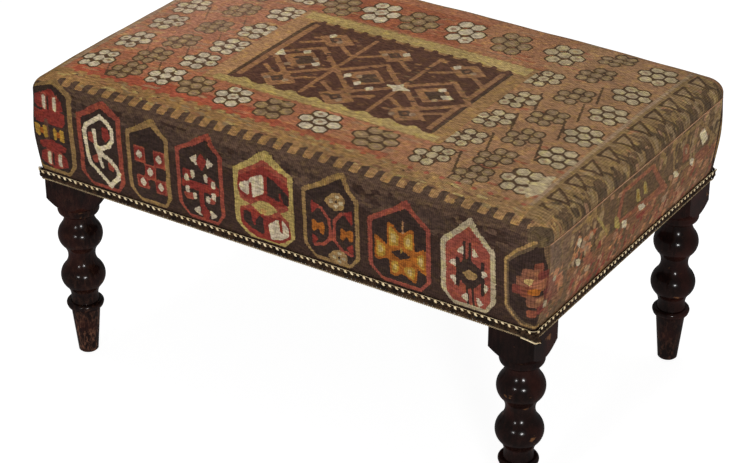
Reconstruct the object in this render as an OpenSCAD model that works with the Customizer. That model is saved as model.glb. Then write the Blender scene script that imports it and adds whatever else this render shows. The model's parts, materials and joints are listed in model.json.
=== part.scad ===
// Upholstered bench on four turned legs: a doweled frame, webbing, a padded seat and a flat-woven cover.
// The origin is on the floor under the middle of the seat, with X along the seat and -Y to its front.

/* [Seat] */
// Length of the seat over its cover
seat_l = 860; // [720:5:1100]
// Width of the seat over its cover, from front to back
seat_w = 556; // [480:2:700]
// Height of the covered side, from the cover's lower edge to the seat's upper edge
side_h = 166; // [156:1:200]
// Rise of the seat's middle above the middles of its edges
crown_h = 8; // [4:1:24]
// Rise of the middles of the edges above the corners
edge_rise = 7; // [2:1:12]
// Rounding of the seat's upper edge
edge_r = 20; // [16:1:30]
// Rounding of the cover's upright corners at their foot
low_corner_r = 6; // [5:1:12]
// Rounding of the cover's upright corners at the shoulder
high_corner_r = 20; // [16:1:40]
// Rounding of the corners where the crown begins
crown_corner_r = 12; // [8:1:20]
// How far the sides swell out over the frame
side_swell = 11; // [3:0.5:14]

/* [Layers] */
// Thickness of the woven cover
cover_t = 1.5; // [1:0.1:2.5]
// Thickness of the wadding under the cover
wadding_t = 6; // [4:0.5:8]
// Thickness of the calico lining under the wadding
lining_t = 0.6; // [0.4:0.1:1]
// Thickness of the hessian under the foam
hessian_t = 0.8; // [0.5:0.1:1.5]
// Clearance between soft layers and what they lie on
layer_gap = 0.3; // [0.2:0.05:0.4]

/* [Side panels] */
// Drop of the side seam below the seat's upper edge
seam_drop = 24; // [20:1:40]
// How far the cover's front and back wrap round onto the sides
corner_wrap = 16; // [14:1:60]
// Width of the seam line
seam_w = 2.4; // [1.6:0.2:4]
// Thickness of the seam line
seam_t = 0.9; // [0.6:0.1:1.5]

/* [Trim] */
// Height of the braid round the lower edge
gimp_h = 14; // [10:1:18]
// Thickness of the braid
gimp_t = 3; // [2:0.5:4]
// Diameter of the edging cord under the braid
cord_d = 3; // [2:0.5:4]
// Diameter of a gimp pin
pin_d = 1.2; // [1:0.1:1.6]
// Diameter of a gimp pin's head
pin_head_d = 3; // [2.4:0.2:4]
// Thickness of a gimp pin's head
pin_head_t = 0.8; // [0.6:0.1:1.2]
// Depth of a gimp pin in the frame
pin_bite = 6; // [4:0.5:8]
// Gimp pins along each long side
pins_l = 8; // [4:1:12]
// Gimp pins along each short side
pins_w = 5; // [3:1:8]

/* [Frame] */
// Side of the square corner posts
post_s = 70; // [60:1:76]
// Thickness of the rails
rail_t = 22; // [18:1:26]
// Height of the rails
rail_h = 80; // [70:1:88]
// Lift of the rails above the cover's lower edge
rail_lift = 2; // [1.5:0.5:4]
// Thickness of the centre rail
centre_rail_t = 24; // [20:1:30]
// Height of the centre rail
centre_rail_h = 52; // [46:1:60]
// Diameter of the dowels
dowel_d = 10; // [8:1:11]
// Depth of a dowel in a corner post or in a rail's end
dowel_bite = 30; // [20:1:34]
// Depth of a centre rail's dowel in the front or back rail
side_dowel_bite = 14; // [10:1:15]
// Height between the two dowels of a rail's end
dowel_pitch = 40; // [30:1:46]
// Height between the two dowels of the centre rail's end
side_dowel_pitch = 26; // [22:1:28]
// Radial clearance of a dowel in its hole
dowel_clear = 0.05; // [0.02:0.01:0.1]
// Room left at each end of a dowel
dowel_room = 1; // [0.5:0.5:2]

/* [Corner braces] */
// Thickness of a brace
brace_t = 25; // [20:1:32]
// Height of a brace
brace_h = 45; // [30:1:55]
// Height of a brace's lower face above the rails' lower edge
brace_lift = 15; // [12:1:15]
// Room between a brace and its post's inner edge
brace_clear = 4; // [2:0.5:10]
// Diameter of a brace screw
screw_d = 4; // [3:0.5:5]
// Diameter of a brace screw's head
screw_head_d = 8; // [7:0.5:10]
// Height of a brace screw's countersunk head
screw_head_h = 2.5; // [2:0.5:4]
// Depth of a brace screw in its rail
screw_bite = 14; // [10:1:16]

/* [Webbing] */
// Width of a webbing strip
web_w = 50; // [40:1:56]
// Thickness of a webbing strip
web_t = 1.2; // [0.8:0.1:2]
// Strips that run along the seat
web_count_l = 5; // [3:1:5]
// Strips that run across the seat
web_count_w = 8; // [4:2:8]
// Length of the end that is turned back on each strip
web_fold = 14; // [10:1:16]
// Clearance between strips and the posts they run beside
web_margin = 6; // [3:1:12]

/* [Tacks] */
// Diameter of a tack
tack_d = 1.6; // [1.2:0.1:2]
// Depth of a tack in its rail
tack_bite = 6; // [4:0.5:7]
// Diameter of a tack's head
tack_head_d = 6; // [5:0.5:8]
// Thickness of a tack's head
tack_head_t = 0.8; // [0.5:0.1:1.2]
// Radial clearance of screws, tacks and pins in their holes
tack_clear = 0.1; // [0.05:0.05:0.2]

/* [Dust cover] */
// Thickness of the dust cover
dust_t = 0.7; // [0.5:0.1:1]
// Distance from the frame's outer face to the dust cover's edge
dust_inset = 8; // [6:1:10]
// Distance from the frame's outer face to the dust cover's tacks
dust_tack_inset = 14; // [13:0.5:15]
// Dust cover tacks along each long side
dust_tacks_l = 8; // [4:2:12]
// Dust cover tacks along each short side
dust_tacks_w = 5; // [3:1:8]

/* [Legs] */
// Height of the legs below the cover's lower edge
leg_h = 316; // [300:1:400]
// Height of the square block that shows below the cover
block_h = 36; // [20:1:50]
// Radius of the pommel's disc under the block
disc_r = 32.5; // [30:0.5:36]
// Height of the pommel's disc
disc_h = 6; // [3:0.5:9]
// Radius of the neck under the pommel
top_neck_r = 22.7; // [20:0.1:26]
// Largest radius of the turned balls
ball_r = 35; // [32:0.5:38]
// Radius of the balls' rounding, seen from the side
ball_round_r = 26.5; // [24:0.5:29]
// Distance between the two balls
ball_pitch = 72.5; // [68:0.5:80]
// Radius of the necks between the balls and under them
neck_r = 21.3; // [18:0.1:24]
// Largest radius of the bead under the balls
bead_r = 29.4; // [27:0.1:33]
// Height of the bead
bead_h = 10.6; // [8:0.2:14]
// Distance of the bead's top from the middle of the neck over it
bead_drop = 9; // [6:0.5:12]
// Height of the collar on top of the foot
collar_h = 4; // [2:0.5:8]
// Radius of the collar at the bead
collar_r = 27.8; // [25:0.1:29]
// Radius of the tapered foot at its top
foot_top_r = 22.8; // [19:0.1:24]
// Radius of the tapered foot at the floor
foot_r = 15.5; // [12:0.5:18]
// Height of the bevel round the foot's lower edge
foot_bevel = 1.5; // [0.5:0.5:3]

/* [Hidden] */
$fn = 96;
// Sides of a hole that a pin makes in cloth
cloth_hole_fn = 6;
// How far a cut runs past the faces that it goes through
over = 1;
left = -1;
right = 1;
front = -1;
back = 1;
ends = [left, right];

// The frame lies inside the cover, face to face with its clearance
frame_inset = cover_t + layer_gap;
frame_half_l = seat_l / 2 - frame_inset;
frame_half_w = seat_w / 2 - frame_inset;
rail_z = leg_h + rail_lift;
frame_top = rail_z + rail_h;
// Distance from the middle of the seat to the posts' inner faces
bay_half_l = frame_half_l - post_s;
bay_half_w = frame_half_w - post_s;
top_z = leg_h + side_h;
shoulder_z = top_z - edge_r;

// Insets of the soft layers from the cover's outer face
wadding_in = cover_t + layer_gap;
lining_in = wadding_in + wadding_t + layer_gap;
foam_in = lining_in + lining_t + layer_gap;

// Heights of the webbing, the hessian and the foam
web_z = frame_top + layer_gap;
web_rise = web_t + layer_gap;
hessian_z = web_z + 2 * web_t + tack_head_t + layer_gap;
foam_z = hessian_z + hessian_t + layer_gap;

// Places of the webbing strips: the posts bound the first and the last strip
web_half_l = seat_l / 2 - foam_in;
web_half_w = seat_w / 2 - foam_in;
web_places_l = spread(web_count_w, bay_half_l - web_margin - web_w / 2);
web_places_w = spread(web_count_l, bay_half_w - web_margin - web_w / 2);
// Half of the flat stretch that a strip has at each crossing
web_flat = web_w / 2 + web_margin / 2;
web_tack_in = web_fold / 2;
web_tack_pitch = web_w / 2;

// Heights in a leg, counted down from the block, so that the foot takes what is left
half_diagonal = post_s / sqrt(2);
pommel_top_z = leg_h - block_h;
disc_z = pommel_top_z - (half_diagonal - disc_r) - disc_h;
pommel_round_r = disc_r - top_neck_r;
top_neck_z = disc_z - pommel_round_r;
upper_ball_z = top_neck_z - ball_pitch / 2;
mid_neck_z = upper_ball_z - ball_pitch / 2;
lower_ball_z = mid_neck_z - ball_pitch / 2;
low_neck_z = lower_ball_z - ball_pitch / 2;
bead_z = low_neck_z - bead_drop - bead_h;
foot_h = bead_z - collar_h;

// Levels of the dowels, and the braces' corners, counted from the frame's outer corner
dowel_levels = [for (s = ends) rail_z + rail_h / 2 + s * dowel_pitch / 2];
side_dowel_levels = [for (s = ends) rail_z + centre_rail_h / 2 + s * side_dowel_pitch / 2];
brace_near = 2 * post_s + brace_clear * sqrt(2);
brace_far = brace_near + brace_t * sqrt(2);
screw_place = (brace_near + brace_far) / 2 - rail_t;
screw_seat = brace_far - screw_place - screw_head_d / 2 - tack_clear;
screw_l = screw_seat - rail_t + screw_bite;
screw_z = rail_z + brace_lift + brace_h / 2;

// Heights of the cover's rings, and the shares that each ring takes of the swell and of the corner's widening
levels = [
    leg_h, leg_h + gimp_h, (leg_h + gimp_h + frame_top) / 2, frame_top, (frame_top + shoulder_z) / 2, shoulder_z
];
swell_shares = [0, 0, 0.46, 0.81, 0.98, 1];
corner_shares = [0, 0, 0, 0.12, 0.66, 1];
// Rings of the rounded edge, and the crown's rings as shares of the top ring
edge_steps = 4;
crown_shares = [0.82, 0.58, 0.3];
crown_power = 2.4;
corner_steps = 4;
long_steps = 6;
short_steps = 4;
// The ring at which the inner layers begin
pad_ring = 3;
last_ring = len(levels) + edge_steps - 1;
least_corner_r = crown_corner_r / 4;

gimp_in = layer_gap;
pin_seat = frame_inset + layer_gap + gimp_t;
pin_z = leg_h + gimp_h / 2;
seam_z = top_z - seam_drop;
panel_half_w = seat_w / 2 - corner_wrap;

// Places spread evenly from -reach to +reach
function spread(count, reach) = [for (k = [0:count - 1]) reach * (2 * k / (count - 1) - 1)];

// Radius of the hollow round a neck of radius n that flows into the balls beside it
function cove_r(n) =
    (pow(n - ball_r + ball_round_r, 2) + pow(ball_pitch / 2, 2) - pow(ball_round_r, 2)) / (2 * (ball_r - n));

// Distance from the leg's axis at which that hollow meets a ball
function cove_edge(n) =
    ball_r - ball_round_r + ball_round_r * (n + cove_r(n) - ball_r + ball_round_r) / (ball_round_r + cove_r(n));

function mix(a, b, share) = a + (b - a) * share;

// One quarter of a ring's corner, from angle a on
function corner_arc(cx, cy, r, a) = [
    for (k = [0:corner_steps])
        [cx + r * cos(a + 90 * k / corner_steps), cy + r * sin(a + 90 * k / corner_steps)]
];

// The points between two corners
function side_points(from, to, steps) = [for (k = [1:steps - 1]) mix(from, to, k / steps)];

// A ring of half sizes hl and hw and corner radius r, anticlockwise from above
function outline(hl, hw, r) =
    let (x = hl - r, y = hw - r)
        concat(
            corner_arc(x, y, r, 0),
            side_points([x, hw], [-x, hw], long_steps),
            corner_arc(-x, y, r, 90),
            side_points([-hl, y], [-hl, -y], short_steps),
            corner_arc(-x, -y, r, 180),
            side_points([-x, -hw], [x, -hw], long_steps),
            corner_arc(x, -y, r, 270),
            side_points([hl, -y], [hl, y], short_steps)
        );

function edge_angle(k) = k < len(levels) ? 0 : 90 * (k - len(levels) + 1) / edge_steps;
function share_at(shares, k) = shares[min(k, len(levels) - 1)];

// Ring k of the skin that lies inset below the cover's outer face, not lower than base
function skin_ring(k, inset, base) =
    let (
        a = edge_angle(k),
        past = 1 - cos(a),
        side = inset + (edge_r - inset) * past - side_swell * share_at(swell_shares, k),
        corner = mix(low_corner_r, high_corner_r, share_at(corner_shares, k)) - inset,
        r = max(mix(corner, crown_corner_r, past), least_corner_r),
        z = k < len(levels) ? max(levels[k], base) : shoulder_z + (edge_r - inset) * sin(a)
    )
        [for (p = outline(seat_l / 2 - side, seat_w / 2 - side, r)) [p.x, p.y, z + rise(p.x, p.y) * sin(a)]];

// How far the padding lifts a point of the top above the corners' height
function rise(x, y) =
    let (
        edge_x = pow(min(abs(x) / (seat_l / 2), 1), crown_power),
        edge_y = pow(min(abs(y) / (seat_w / 2), 1), crown_power)
    )
        crown_h * (1 - edge_x) * (1 - edge_y) + edge_rise * (1 - edge_x * edge_y);

function crown_ring(share, inset) = [
    for (p = skin_ring(last_ring, inset, 0))
        [p.x * share, p.y * share, top_z - inset + rise(p.x * share, p.y * share)]
];

// All rings of a skin from ring first up, and the point in the middle of the crown
function skin_rings(first, inset, base) = concat(
    [for (k = [first:last_ring]) skin_ring(k, inset, base)],
    [for (share = crown_shares) crown_ring(share, inset)]
);
function flat_list(rings) = [for (ring = rings) for (p = ring) p];
function skin_points(first, inset, base) =
    concat(flat_list(skin_rings(first, inset, base)), [[0, 0, top_z - inset + rise(0, 0)]]);

// Triangles of a skin with count rings of n points, from point start on, facing out
function skin_faces(count, n, start) = concat(
    [for (k = [0:count - 2]) for (i = [0:n - 1])
        let (j = (i + 1) % n, low = start + k * n, high = low + n)
            each [[low + i, high + i, high + j], [low + i, high + j, low + j]]],
    [for (i = [0:n - 1])
        [start + (count - 1) * n + i, start + count * n, start + (count - 1) * n + (i + 1) % n]]
);
function turned(faces) = [for (f = faces) [f[0], f[2], f[1]]];

// A hollow skin, open below, between two insets
module skin_shell(first, outer, inner, base) {
    rings = skin_rings(first, outer, base);
    count = len(rings);
    n = len(rings[0]);
    half = count * n + 1;
    polyhedron(
        points = concat(skin_points(first, outer, base), skin_points(first, inner, base)),
        faces = concat(
            skin_faces(count, n, 0),
            turned(skin_faces(count, n, half)),
            [for (i = [0:n - 1])
                let (j = (i + 1) % n)
                    each [[i, j, half + j], [i, half + j, half + i]]]
        )
    );
}

// A filled skin with a flat underside
module skin_solid(first, inset, base) {
    rings = skin_rings(first, inset, base);
    count = len(rings);
    n = len(rings[0]);
    polyhedron(
        points = concat(skin_points(first, inset, base), [[0, 0, base]]),
        faces = concat(
            skin_faces(count, n, 0),
            [for (i = [0:n - 1]) [i, (i + 1) % n, count * n + 1]]
        )
    );
}

// Draws its children in the corner of sides sx and sy, with X and Y running inward from the frame's faces
module at_corner(sx, sy) {
    translate([sx * frame_half_l, sy * frame_half_w, 0])
        mirror([sx == right ? 1 : 0, 0, 0])
            mirror([0, sy == back ? 1 : 0, 0])
                children();
}

// Draws its children at spots along all four sides, with X pointing out of the frame's face
module at_sides(places_l, places_w) {
    for (sy = [front, back], x = places_l)
        translate([x, sy * frame_half_w, 0])
            rotate([0, 0, sy * 90])
                children();
    for (sx = ends, y = places_w)
        translate([sx * frame_half_l, y, 0])
            rotate([0, 0, 90 - sx * 90])
                children();
}

module rod_x(r, from, to) {
    translate([from, 0, 0])
        rotate([0, 90, 0])
            cylinder(r = r, h = to - from);
}

// The four dowels of one corner, at_corner's way round
module corner_dowels(r, bite) {
    for (z = dowel_levels) {
        translate([post_s, rail_t / 2, z])
            rod_x(r, -bite, bite);
        translate([rail_t / 2, post_s, z])
            rotate([0, 0, 90])
                rod_x(r, -bite, bite);
    }
}

// The dowels between the centre rail and the front and back rails
module centre_dowels(r, room) {
    for (sy = [front, back], z = side_dowel_levels)
        translate([0, sy * (frame_half_w - rail_t), z])
            rotate([0, 0, sy * 90])
                rod_x(r, -dowel_bite - room, side_dowel_bite + room);
}

module dowel_holes() {
    for (sx = ends, sy = [front, back])
        at_corner(sx, sy)
            corner_dowels(dowel_d / 2 + dowel_clear, dowel_bite + dowel_room);
    centre_dowels(dowel_d / 2 + dowel_clear, dowel_room);
}

module frame_dowels() {
    color("burlywood") {
        for (sx = ends, sy = [front, back])
            at_corner(sx, sy)
                corner_dowels(dowel_d / 2, dowel_bite);
        centre_dowels(dowel_d / 2, 0);
    }
}

// A screw that points down X from its head's face at zero
module screw_body(clear, head_room) {
    rod_x(screw_d / 2 + clear, -screw_l - clear, 0);
    translate([-screw_head_h, 0, 0])
        rotate([0, 90, 0])
            cylinder(r1 = screw_d / 2 + clear, r2 = screw_head_d / 2 + clear, h = screw_head_h);
    if (head_room > 0)
        rod_x(screw_head_d / 2 + clear, 0, head_room);
}

// The two screws of one corner, at_corner's way round
module corner_screws(clear, head_room) {
    translate([screw_place, screw_seat, screw_z])
        rotate([0, 0, 90])
            screw_body(clear, head_room);
    translate([screw_seat, screw_place, screw_z])
        screw_body(clear, head_room);
}

module screw_holes() {
    for (sx = ends, sy = [front, back])
        at_corner(sx, sy)
            corner_screws(tack_clear, screw_head_d);
}

module brace_screws() {
    color("silver")
        for (sx = ends, sy = [front, back])
            at_corner(sx, sy)
                corner_screws(0, 0);
}

// A mitred block across one corner, clear of the post's inner edge
module brace(sx, sy) {
    color("tan")
        difference() {
            at_corner(sx, sy)
                translate([0, 0, rail_z + brace_lift])
                    linear_extrude(brace_h)
                        polygon([
                            [brace_near - rail_t, rail_t], [brace_far - rail_t, rail_t],
                            [rail_t, brace_far - rail_t], [rail_t, brace_near - rail_t]
                        ]);
            screw_holes();
        }
}

module tack_shape(r, bite) {
    translate([0, 0, -bite])
        cylinder(r = r, h = bite);
}

// Spots of the webbing tacks, two at each strip's end
function tack_spots(places) = [for (p = places) for (s = ends) p + s * web_tack_pitch / 2];

// Draws its children upright at each webbing tack
module at_web_tacks() {
    reach = seat_l / 2 - frame_half_l - foam_in - web_tack_in;
    at_sides(tack_spots(web_places_l), tack_spots(web_places_w))
        translate([reach, 0, 0])
            children();
}

module web_tack_holes() {
    at_web_tacks()
        translate([0, 0, frame_top + over])
            tack_shape(tack_d / 2 + tack_clear, tack_bite + tack_clear + over);
}

module webbing_tacks() {
    head_z = web_z + 2 * web_t;
    color("dimgray")
        at_web_tacks()
            translate([0, 0, head_z]) {
                tack_shape(tack_d / 2, head_z - frame_top + tack_bite);
                cylinder(r = tack_head_d / 2, h = tack_head_t);
            }
}

// Draws its children upright at each dust cover tack
module at_dust_tacks() {
    at_sides(spread(dust_tacks_l, bay_half_l - post_s / 2), spread(dust_tacks_w, bay_half_w - post_s / 2))
        translate([-dust_tack_inset, 0, 0])
            children();
}

module dust_tack_holes() {
    at_dust_tacks()
        translate([0, 0, rail_z + tack_bite + tack_clear])
            tack_shape(tack_d / 2 + tack_clear, tack_bite + rail_lift + over);
}

module dust_cover_tacks() {
    head_z = rail_z - layer_gap - dust_t;
    color("dimgray")
        at_dust_tacks() {
            translate([0, 0, rail_z + tack_bite])
                tack_shape(tack_d / 2, rail_z + tack_bite - head_z);
            translate([0, 0, head_z - tack_head_t])
                cylinder(r = tack_head_d / 2, h = tack_head_t);
        }
}

// Draws its children at each gimp pin, pointing out
module at_pins() {
    at_sides(spread(pins_l, bay_half_l - post_s / 4), spread(pins_w, bay_half_w - post_s / 4))
        translate([0, 0, pin_z])
            children();
}

module pin_holes(sides) {
    at_pins()
        rotate([0, 90, 0])
            translate([0, 0, -pin_bite - tack_clear])
                cylinder(r = pin_d / 2 + tack_clear, h = pin_bite + tack_clear + pin_seat + over, $fn = sides);
}

module gimp_pins() {
    color("saddlebrown")
        at_pins() {
            rod_x(pin_d / 2, -pin_bite, pin_seat);
            rod_x(pin_head_d / 2, pin_seat, pin_seat + pin_head_t);
        }
}

module rail_holes() {
    dowel_holes();
    screw_holes();
    web_tack_holes();
    dust_tack_holes();
    pin_holes($fn);
}

// The front or back rail
module long_rail(sy) {
    color("peru")
        difference() {
            translate([-bay_half_l, sy == front ? -frame_half_w : frame_half_w - rail_t, rail_z])
                cube([2 * bay_half_l, rail_t, rail_h]);
            rail_holes();
        }
}

// The left or right rail
module short_rail(sx) {
    color("peru")
        difference() {
            translate([sx == left ? -frame_half_l : frame_half_l - rail_t, -bay_half_w, rail_z])
                cube([rail_t, 2 * bay_half_w, rail_h]);
            rail_holes();
        }
}

module centre_rail() {
    length = 2 * (frame_half_w - rail_t);
    color("peru")
        difference() {
            translate([-centre_rail_t / 2, -length / 2, rail_z])
                cube([centre_rail_t, length, centre_rail_h]);
            centre_dowels(dowel_d / 2 + dowel_clear, dowel_room);
        }
}

// The hollow of one neck in the profile, between two heights
module cove(n, from, to, middle) {
    difference() {
        translate([0, from])
            square([cove_edge(n), to - from]);
        translate([n + cove_r(n), middle])
            circle(r = cove_r(n));
    }
}

// Half of the turned length's section, with the leg's axis along Y
module turned_profile() {
    bead_round_r = bead_h / 2;
    polygon([
        [0, 0], [foot_r - foot_bevel, 0], [foot_r, foot_bevel], [foot_top_r, foot_h],
        [collar_r, bead_z], [collar_r, bead_z + bead_round_r], [0, bead_z + bead_round_r]
    ]);
    translate([bead_r - bead_round_r, bead_z + bead_round_r])
        circle(r = bead_round_r);
    cove(neck_r, bead_z + bead_round_r, lower_ball_z, low_neck_z);
    cove(neck_r, lower_ball_z, upper_ball_z, mid_neck_z);
    cove(top_neck_r, upper_ball_z, top_neck_z, top_neck_z);
    for (z = [lower_ball_z, upper_ball_z])
        translate([ball_r - ball_round_r, z])
            circle(r = ball_round_r);
    translate([0, top_neck_z])
        square([top_neck_r, pommel_round_r]);
    translate([top_neck_r, disc_z])
        circle(r = pommel_round_r);
    translate([0, disc_z])
        square([disc_r, disc_h + over]);
}

// The turned length of a leg, from the floor up into its block
module turning() {
    rotate_extrude()
        intersection() {
            turned_profile();
            square([half_diagonal, pommel_top_z]);
        }
}

// The square block, cut to a pommel below and eased at its outer edge where the cover wraps it
module block() {
    cone_z = disc_z + disc_h;
    cone_h = pommel_top_z - cone_z;
    ease_r = low_corner_r - frame_inset;
    intersection() {
        translate([0, 0, cone_z])
            linear_extrude(frame_top - cone_z)
                union() {
                    translate([ease_r, 0])
                        square([post_s - ease_r, post_s]);
                    translate([0, ease_r])
                        square([post_s, post_s - ease_r]);
                    translate([ease_r, ease_r])
                        circle(r = ease_r);
                }
        translate([post_s / 2, post_s / 2, cone_z])
            union() {
                cylinder(r1 = disc_r, r2 = half_diagonal, h = cone_h);
                translate([0, 0, cone_h])
                    cylinder(r = half_diagonal + over, h = frame_top - cone_z);
            }
    }
}

module leg(sx, sy) {
    color([0.12, 0.06, 0.05])
        difference() {
            at_corner(sx, sy) {
                translate([post_s / 2, post_s / 2, 0])
                    turning();
                block();
            }
            dowel_holes();
        }
}

// The side view of a webbing strip that rises and dips at its crossings
module strip_outline(places, half_length, parity) {
    path = concat(
        [[-half_length, 0]],
        [for (k = [0:len(places) - 1]) for (s = ends)
            [places[k] + s * web_flat, (k + parity) % 2 * web_rise]],
        [[half_length, 0]]
    );
    last = len(path) - 1;
    polygon(concat(path, [for (k = [last:-1:0]) path[k] + [0, web_t]]));
    for (s = ends)
        translate([s * (half_length - web_fold / 2), 3 * web_t / 2])
            square([web_fold, web_t], center = true);
}

// A strip along X in the middle of its width
module strip(places, half_length, parity) {
    translate([0, web_w / 2, web_z])
        rotate([90, 0, 0])
            linear_extrude(web_w)
                strip_outline(places, half_length, parity);
}

module webbing_lengthwise() {
    color("wheat")
        difference() {
            for (k = [0:web_count_l - 1])
                translate([0, web_places_w[k], 0])
                    strip(web_places_l, web_half_l, k % 2);
            through_web_holes();
        }
}

module webbing_crosswise() {
    color("wheat")
        difference() {
            for (k = [0:web_count_w - 1])
                translate([web_places_l[k], 0, 0])
                    rotate([0, 0, 90])
                        strip(web_places_w, web_half_w, (k + 1) % 2);
            through_web_holes();
        }
}

module through_web_holes() {
    at_web_tacks()
        translate([0, 0, web_z + 2 * web_t + over])
            tack_shape(tack_d / 2 + tack_clear, 2 * web_t + 2 * over);
}

module hessian() {
    color("darkkhaki")
        translate([-web_half_l, -web_half_w, hessian_z])
            cube([2 * web_half_l, 2 * web_half_w, hessian_t]);
}

module foam_core() {
    color("lightyellow")
        skin_solid(pad_ring, foam_in, foam_z);
}

module calico_lining() {
    color("oldlace")
        skin_shell(pad_ring, lining_in, lining_in + lining_t, web_z);
}

module wadding() {
    color("white")
        skin_shell(pad_ring, wadding_in, wadding_in + wadding_t, web_z);
}

// The part of each short side that its panel fills, less a gap all round
module panel_zone(sx, gap) {
    low = leg_h - over;
    translate([sx == left ? -seat_l : 0, -panel_half_w + gap, low])
        cube([seat_l, 2 * (panel_half_w - gap), seam_z - gap - low]);
}

module cover() {
    color("sienna")
        difference() {
            skin_shell(0, 0, cover_t, 0);
            panel_zone(left, 0);
            panel_zone(right, 0);
            pin_holes(cloth_hole_fn);
        }
}

module side_panel(sx) {
    color("rosybrown")
        difference() {
            intersection() {
                skin_shell(0, 0, cover_t, 0);
                panel_zone(sx, layer_gap);
            }
            pin_holes(cloth_hole_fn);
        }
}

// The raised line of stitches between a side panel and the top
module seam(sx) {
    color("tan")
        intersection() {
            skin_shell(0, -layer_gap - seam_t, -layer_gap, 0);
            translate([sx == left ? -seat_l : 0, -panel_half_w, seam_z - seam_w / 2])
                cube([seat_l, 2 * panel_half_w, seam_w]);
        }
}

// A rectangle of the seat's size with round corners, out beyond the cover by grow
module seat_outline(grow) {
    r = low_corner_r + grow;
    square([seat_l - 2 * low_corner_r, seat_w + 2 * grow], center = true);
    square([seat_l + 2 * grow, seat_w - 2 * low_corner_r], center = true);
    for (sx = ends, sy = ends)
        translate([sx * (seat_l / 2 - low_corner_r), sy * (seat_w / 2 - low_corner_r)])
            circle(r = r);
}

module gimp() {
    color([0.18, 0.12, 0.08])
        difference() {
            translate([0, 0, leg_h])
                linear_extrude(gimp_h)
                    difference() {
                        seat_outline(gimp_in + gimp_t);
                        seat_outline(gimp_in);
                    }
            pin_holes($fn);
        }
}

// The cord lies under the cover's edge and just clear of the posts
module edge_cord() {
    cord_r = cord_d / 2;
    out = cord_r - cover_t;
    bend_r = low_corner_r + out;
    x = seat_l / 2 - low_corner_r;
    y = seat_w / 2 - low_corner_r;
    color("beige")
        translate([0, 0, leg_h - layer_gap - cord_r]) {
            for (s = ends) {
                translate([0, s * (y + bend_r), 0])
                    rod_x(cord_r, -x, x);
                translate([s * (x + bend_r), 0, 0])
                    rotate([0, 0, 90])
                        rod_x(cord_r, -y, y);
            }
            for (sx = ends, sy = ends)
                translate([sx * x, sy * y, 0])
                    rotate([0, 0, sx == right ? (sy == back ? 0 : 270) : (sy == back ? 90 : 180)])
                        rotate_extrude(angle = 90)
                            translate([bend_r, 0])
                                circle(r = cord_r);
        }
}

// A sheet under the rails, cut out round the posts
module dust_cover() {
    half_l = frame_half_l - dust_inset;
    half_w = frame_half_w - dust_inset;
    color([0.1, 0.1, 0.1])
        difference() {
            translate([-half_l, -half_w, rail_z - layer_gap - dust_t])
                cube([2 * half_l, 2 * half_w, dust_t]);
            for (sx = ends, sy = ends)
                at_corner(sx, sy)
                    translate([-over, -over, leg_h])
                        cube([post_s + layer_gap + over, post_s + layer_gap + over, rail_lift]);
            dust_tack_holes();
        }
}

leg(left, front);  // leg_front_left
leg(right, front);  // leg_front_right
leg(left, back);  // leg_back_left
leg(right, back);  // leg_back_right
long_rail(front);  // rail_front
long_rail(back);  // rail_back
short_rail(left);  // rail_left
short_rail(right);  // rail_right
centre_rail();
frame_dowels();
brace(left, front);  // brace_front_left
brace(right, front);  // brace_front_right
brace(left, back);  // brace_back_left
brace(right, back);  // brace_back_right
brace_screws();
webbing_lengthwise();
webbing_crosswise();
webbing_tacks();
hessian();
foam_core();
calico_lining();
wadding();
cover();
side_panel(left);  // side_panel_left
side_panel(right);  // side_panel_right
seam(left);  // seam_left
seam(right);  // seam_right
gimp();
edge_cord();
gimp_pins();
dust_cover();
dust_cover_tacks();
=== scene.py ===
import json
import math

import bpy
import numpy as np
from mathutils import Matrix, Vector

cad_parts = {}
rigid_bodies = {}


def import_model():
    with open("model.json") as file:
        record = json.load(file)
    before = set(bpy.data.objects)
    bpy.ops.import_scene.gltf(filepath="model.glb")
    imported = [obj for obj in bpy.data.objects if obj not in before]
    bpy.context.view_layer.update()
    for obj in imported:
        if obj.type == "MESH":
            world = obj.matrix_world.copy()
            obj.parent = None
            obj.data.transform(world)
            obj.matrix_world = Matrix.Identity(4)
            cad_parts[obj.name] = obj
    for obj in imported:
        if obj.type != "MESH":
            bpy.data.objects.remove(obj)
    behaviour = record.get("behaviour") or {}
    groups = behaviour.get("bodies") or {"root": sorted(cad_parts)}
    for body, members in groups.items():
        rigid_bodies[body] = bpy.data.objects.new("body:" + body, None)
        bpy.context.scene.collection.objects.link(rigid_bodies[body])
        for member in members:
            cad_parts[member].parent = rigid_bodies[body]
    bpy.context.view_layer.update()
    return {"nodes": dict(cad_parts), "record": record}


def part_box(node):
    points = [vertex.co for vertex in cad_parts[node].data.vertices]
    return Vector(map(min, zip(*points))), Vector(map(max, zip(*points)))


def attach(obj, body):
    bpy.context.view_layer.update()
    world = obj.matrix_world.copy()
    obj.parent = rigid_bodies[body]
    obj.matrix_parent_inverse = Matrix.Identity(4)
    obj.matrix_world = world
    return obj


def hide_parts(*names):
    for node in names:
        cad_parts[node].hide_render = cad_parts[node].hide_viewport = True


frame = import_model()
scene = bpy.context.scene
nodes = frame["nodes"]

# Units: every length below is in metres
MM = 0.001
TAU = 2 * math.pi
TINY = 1e-9

# The view of the photograph
CAMERA_PLACE = (1.6123, -2.4922, 1.8871)
CAMERA_YAW = math.radians(32.97)
CAMERA_PITCH = math.radians(29.33)
CAMERA_LENS = 105.66
CAMERA_SENSOR = 36.0

# Light: each lamp's name, place, width, height and power in watts, and the point that all lamps face
LIGHTS = (
    ("key", (2.75, -2.95, 1.15), 0.6, 0.36, 52),
    ("second", (0.4, -3.6, 1.3), 0.4, 0.3, 19),
    ("top", (-0.2, 0.2, 2.8), 1.6, 1.6, 37),
)
LIGHTS_AIM = Vector((0, 0, 0.3))
WORLD_LIGHT = 0.2

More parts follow.
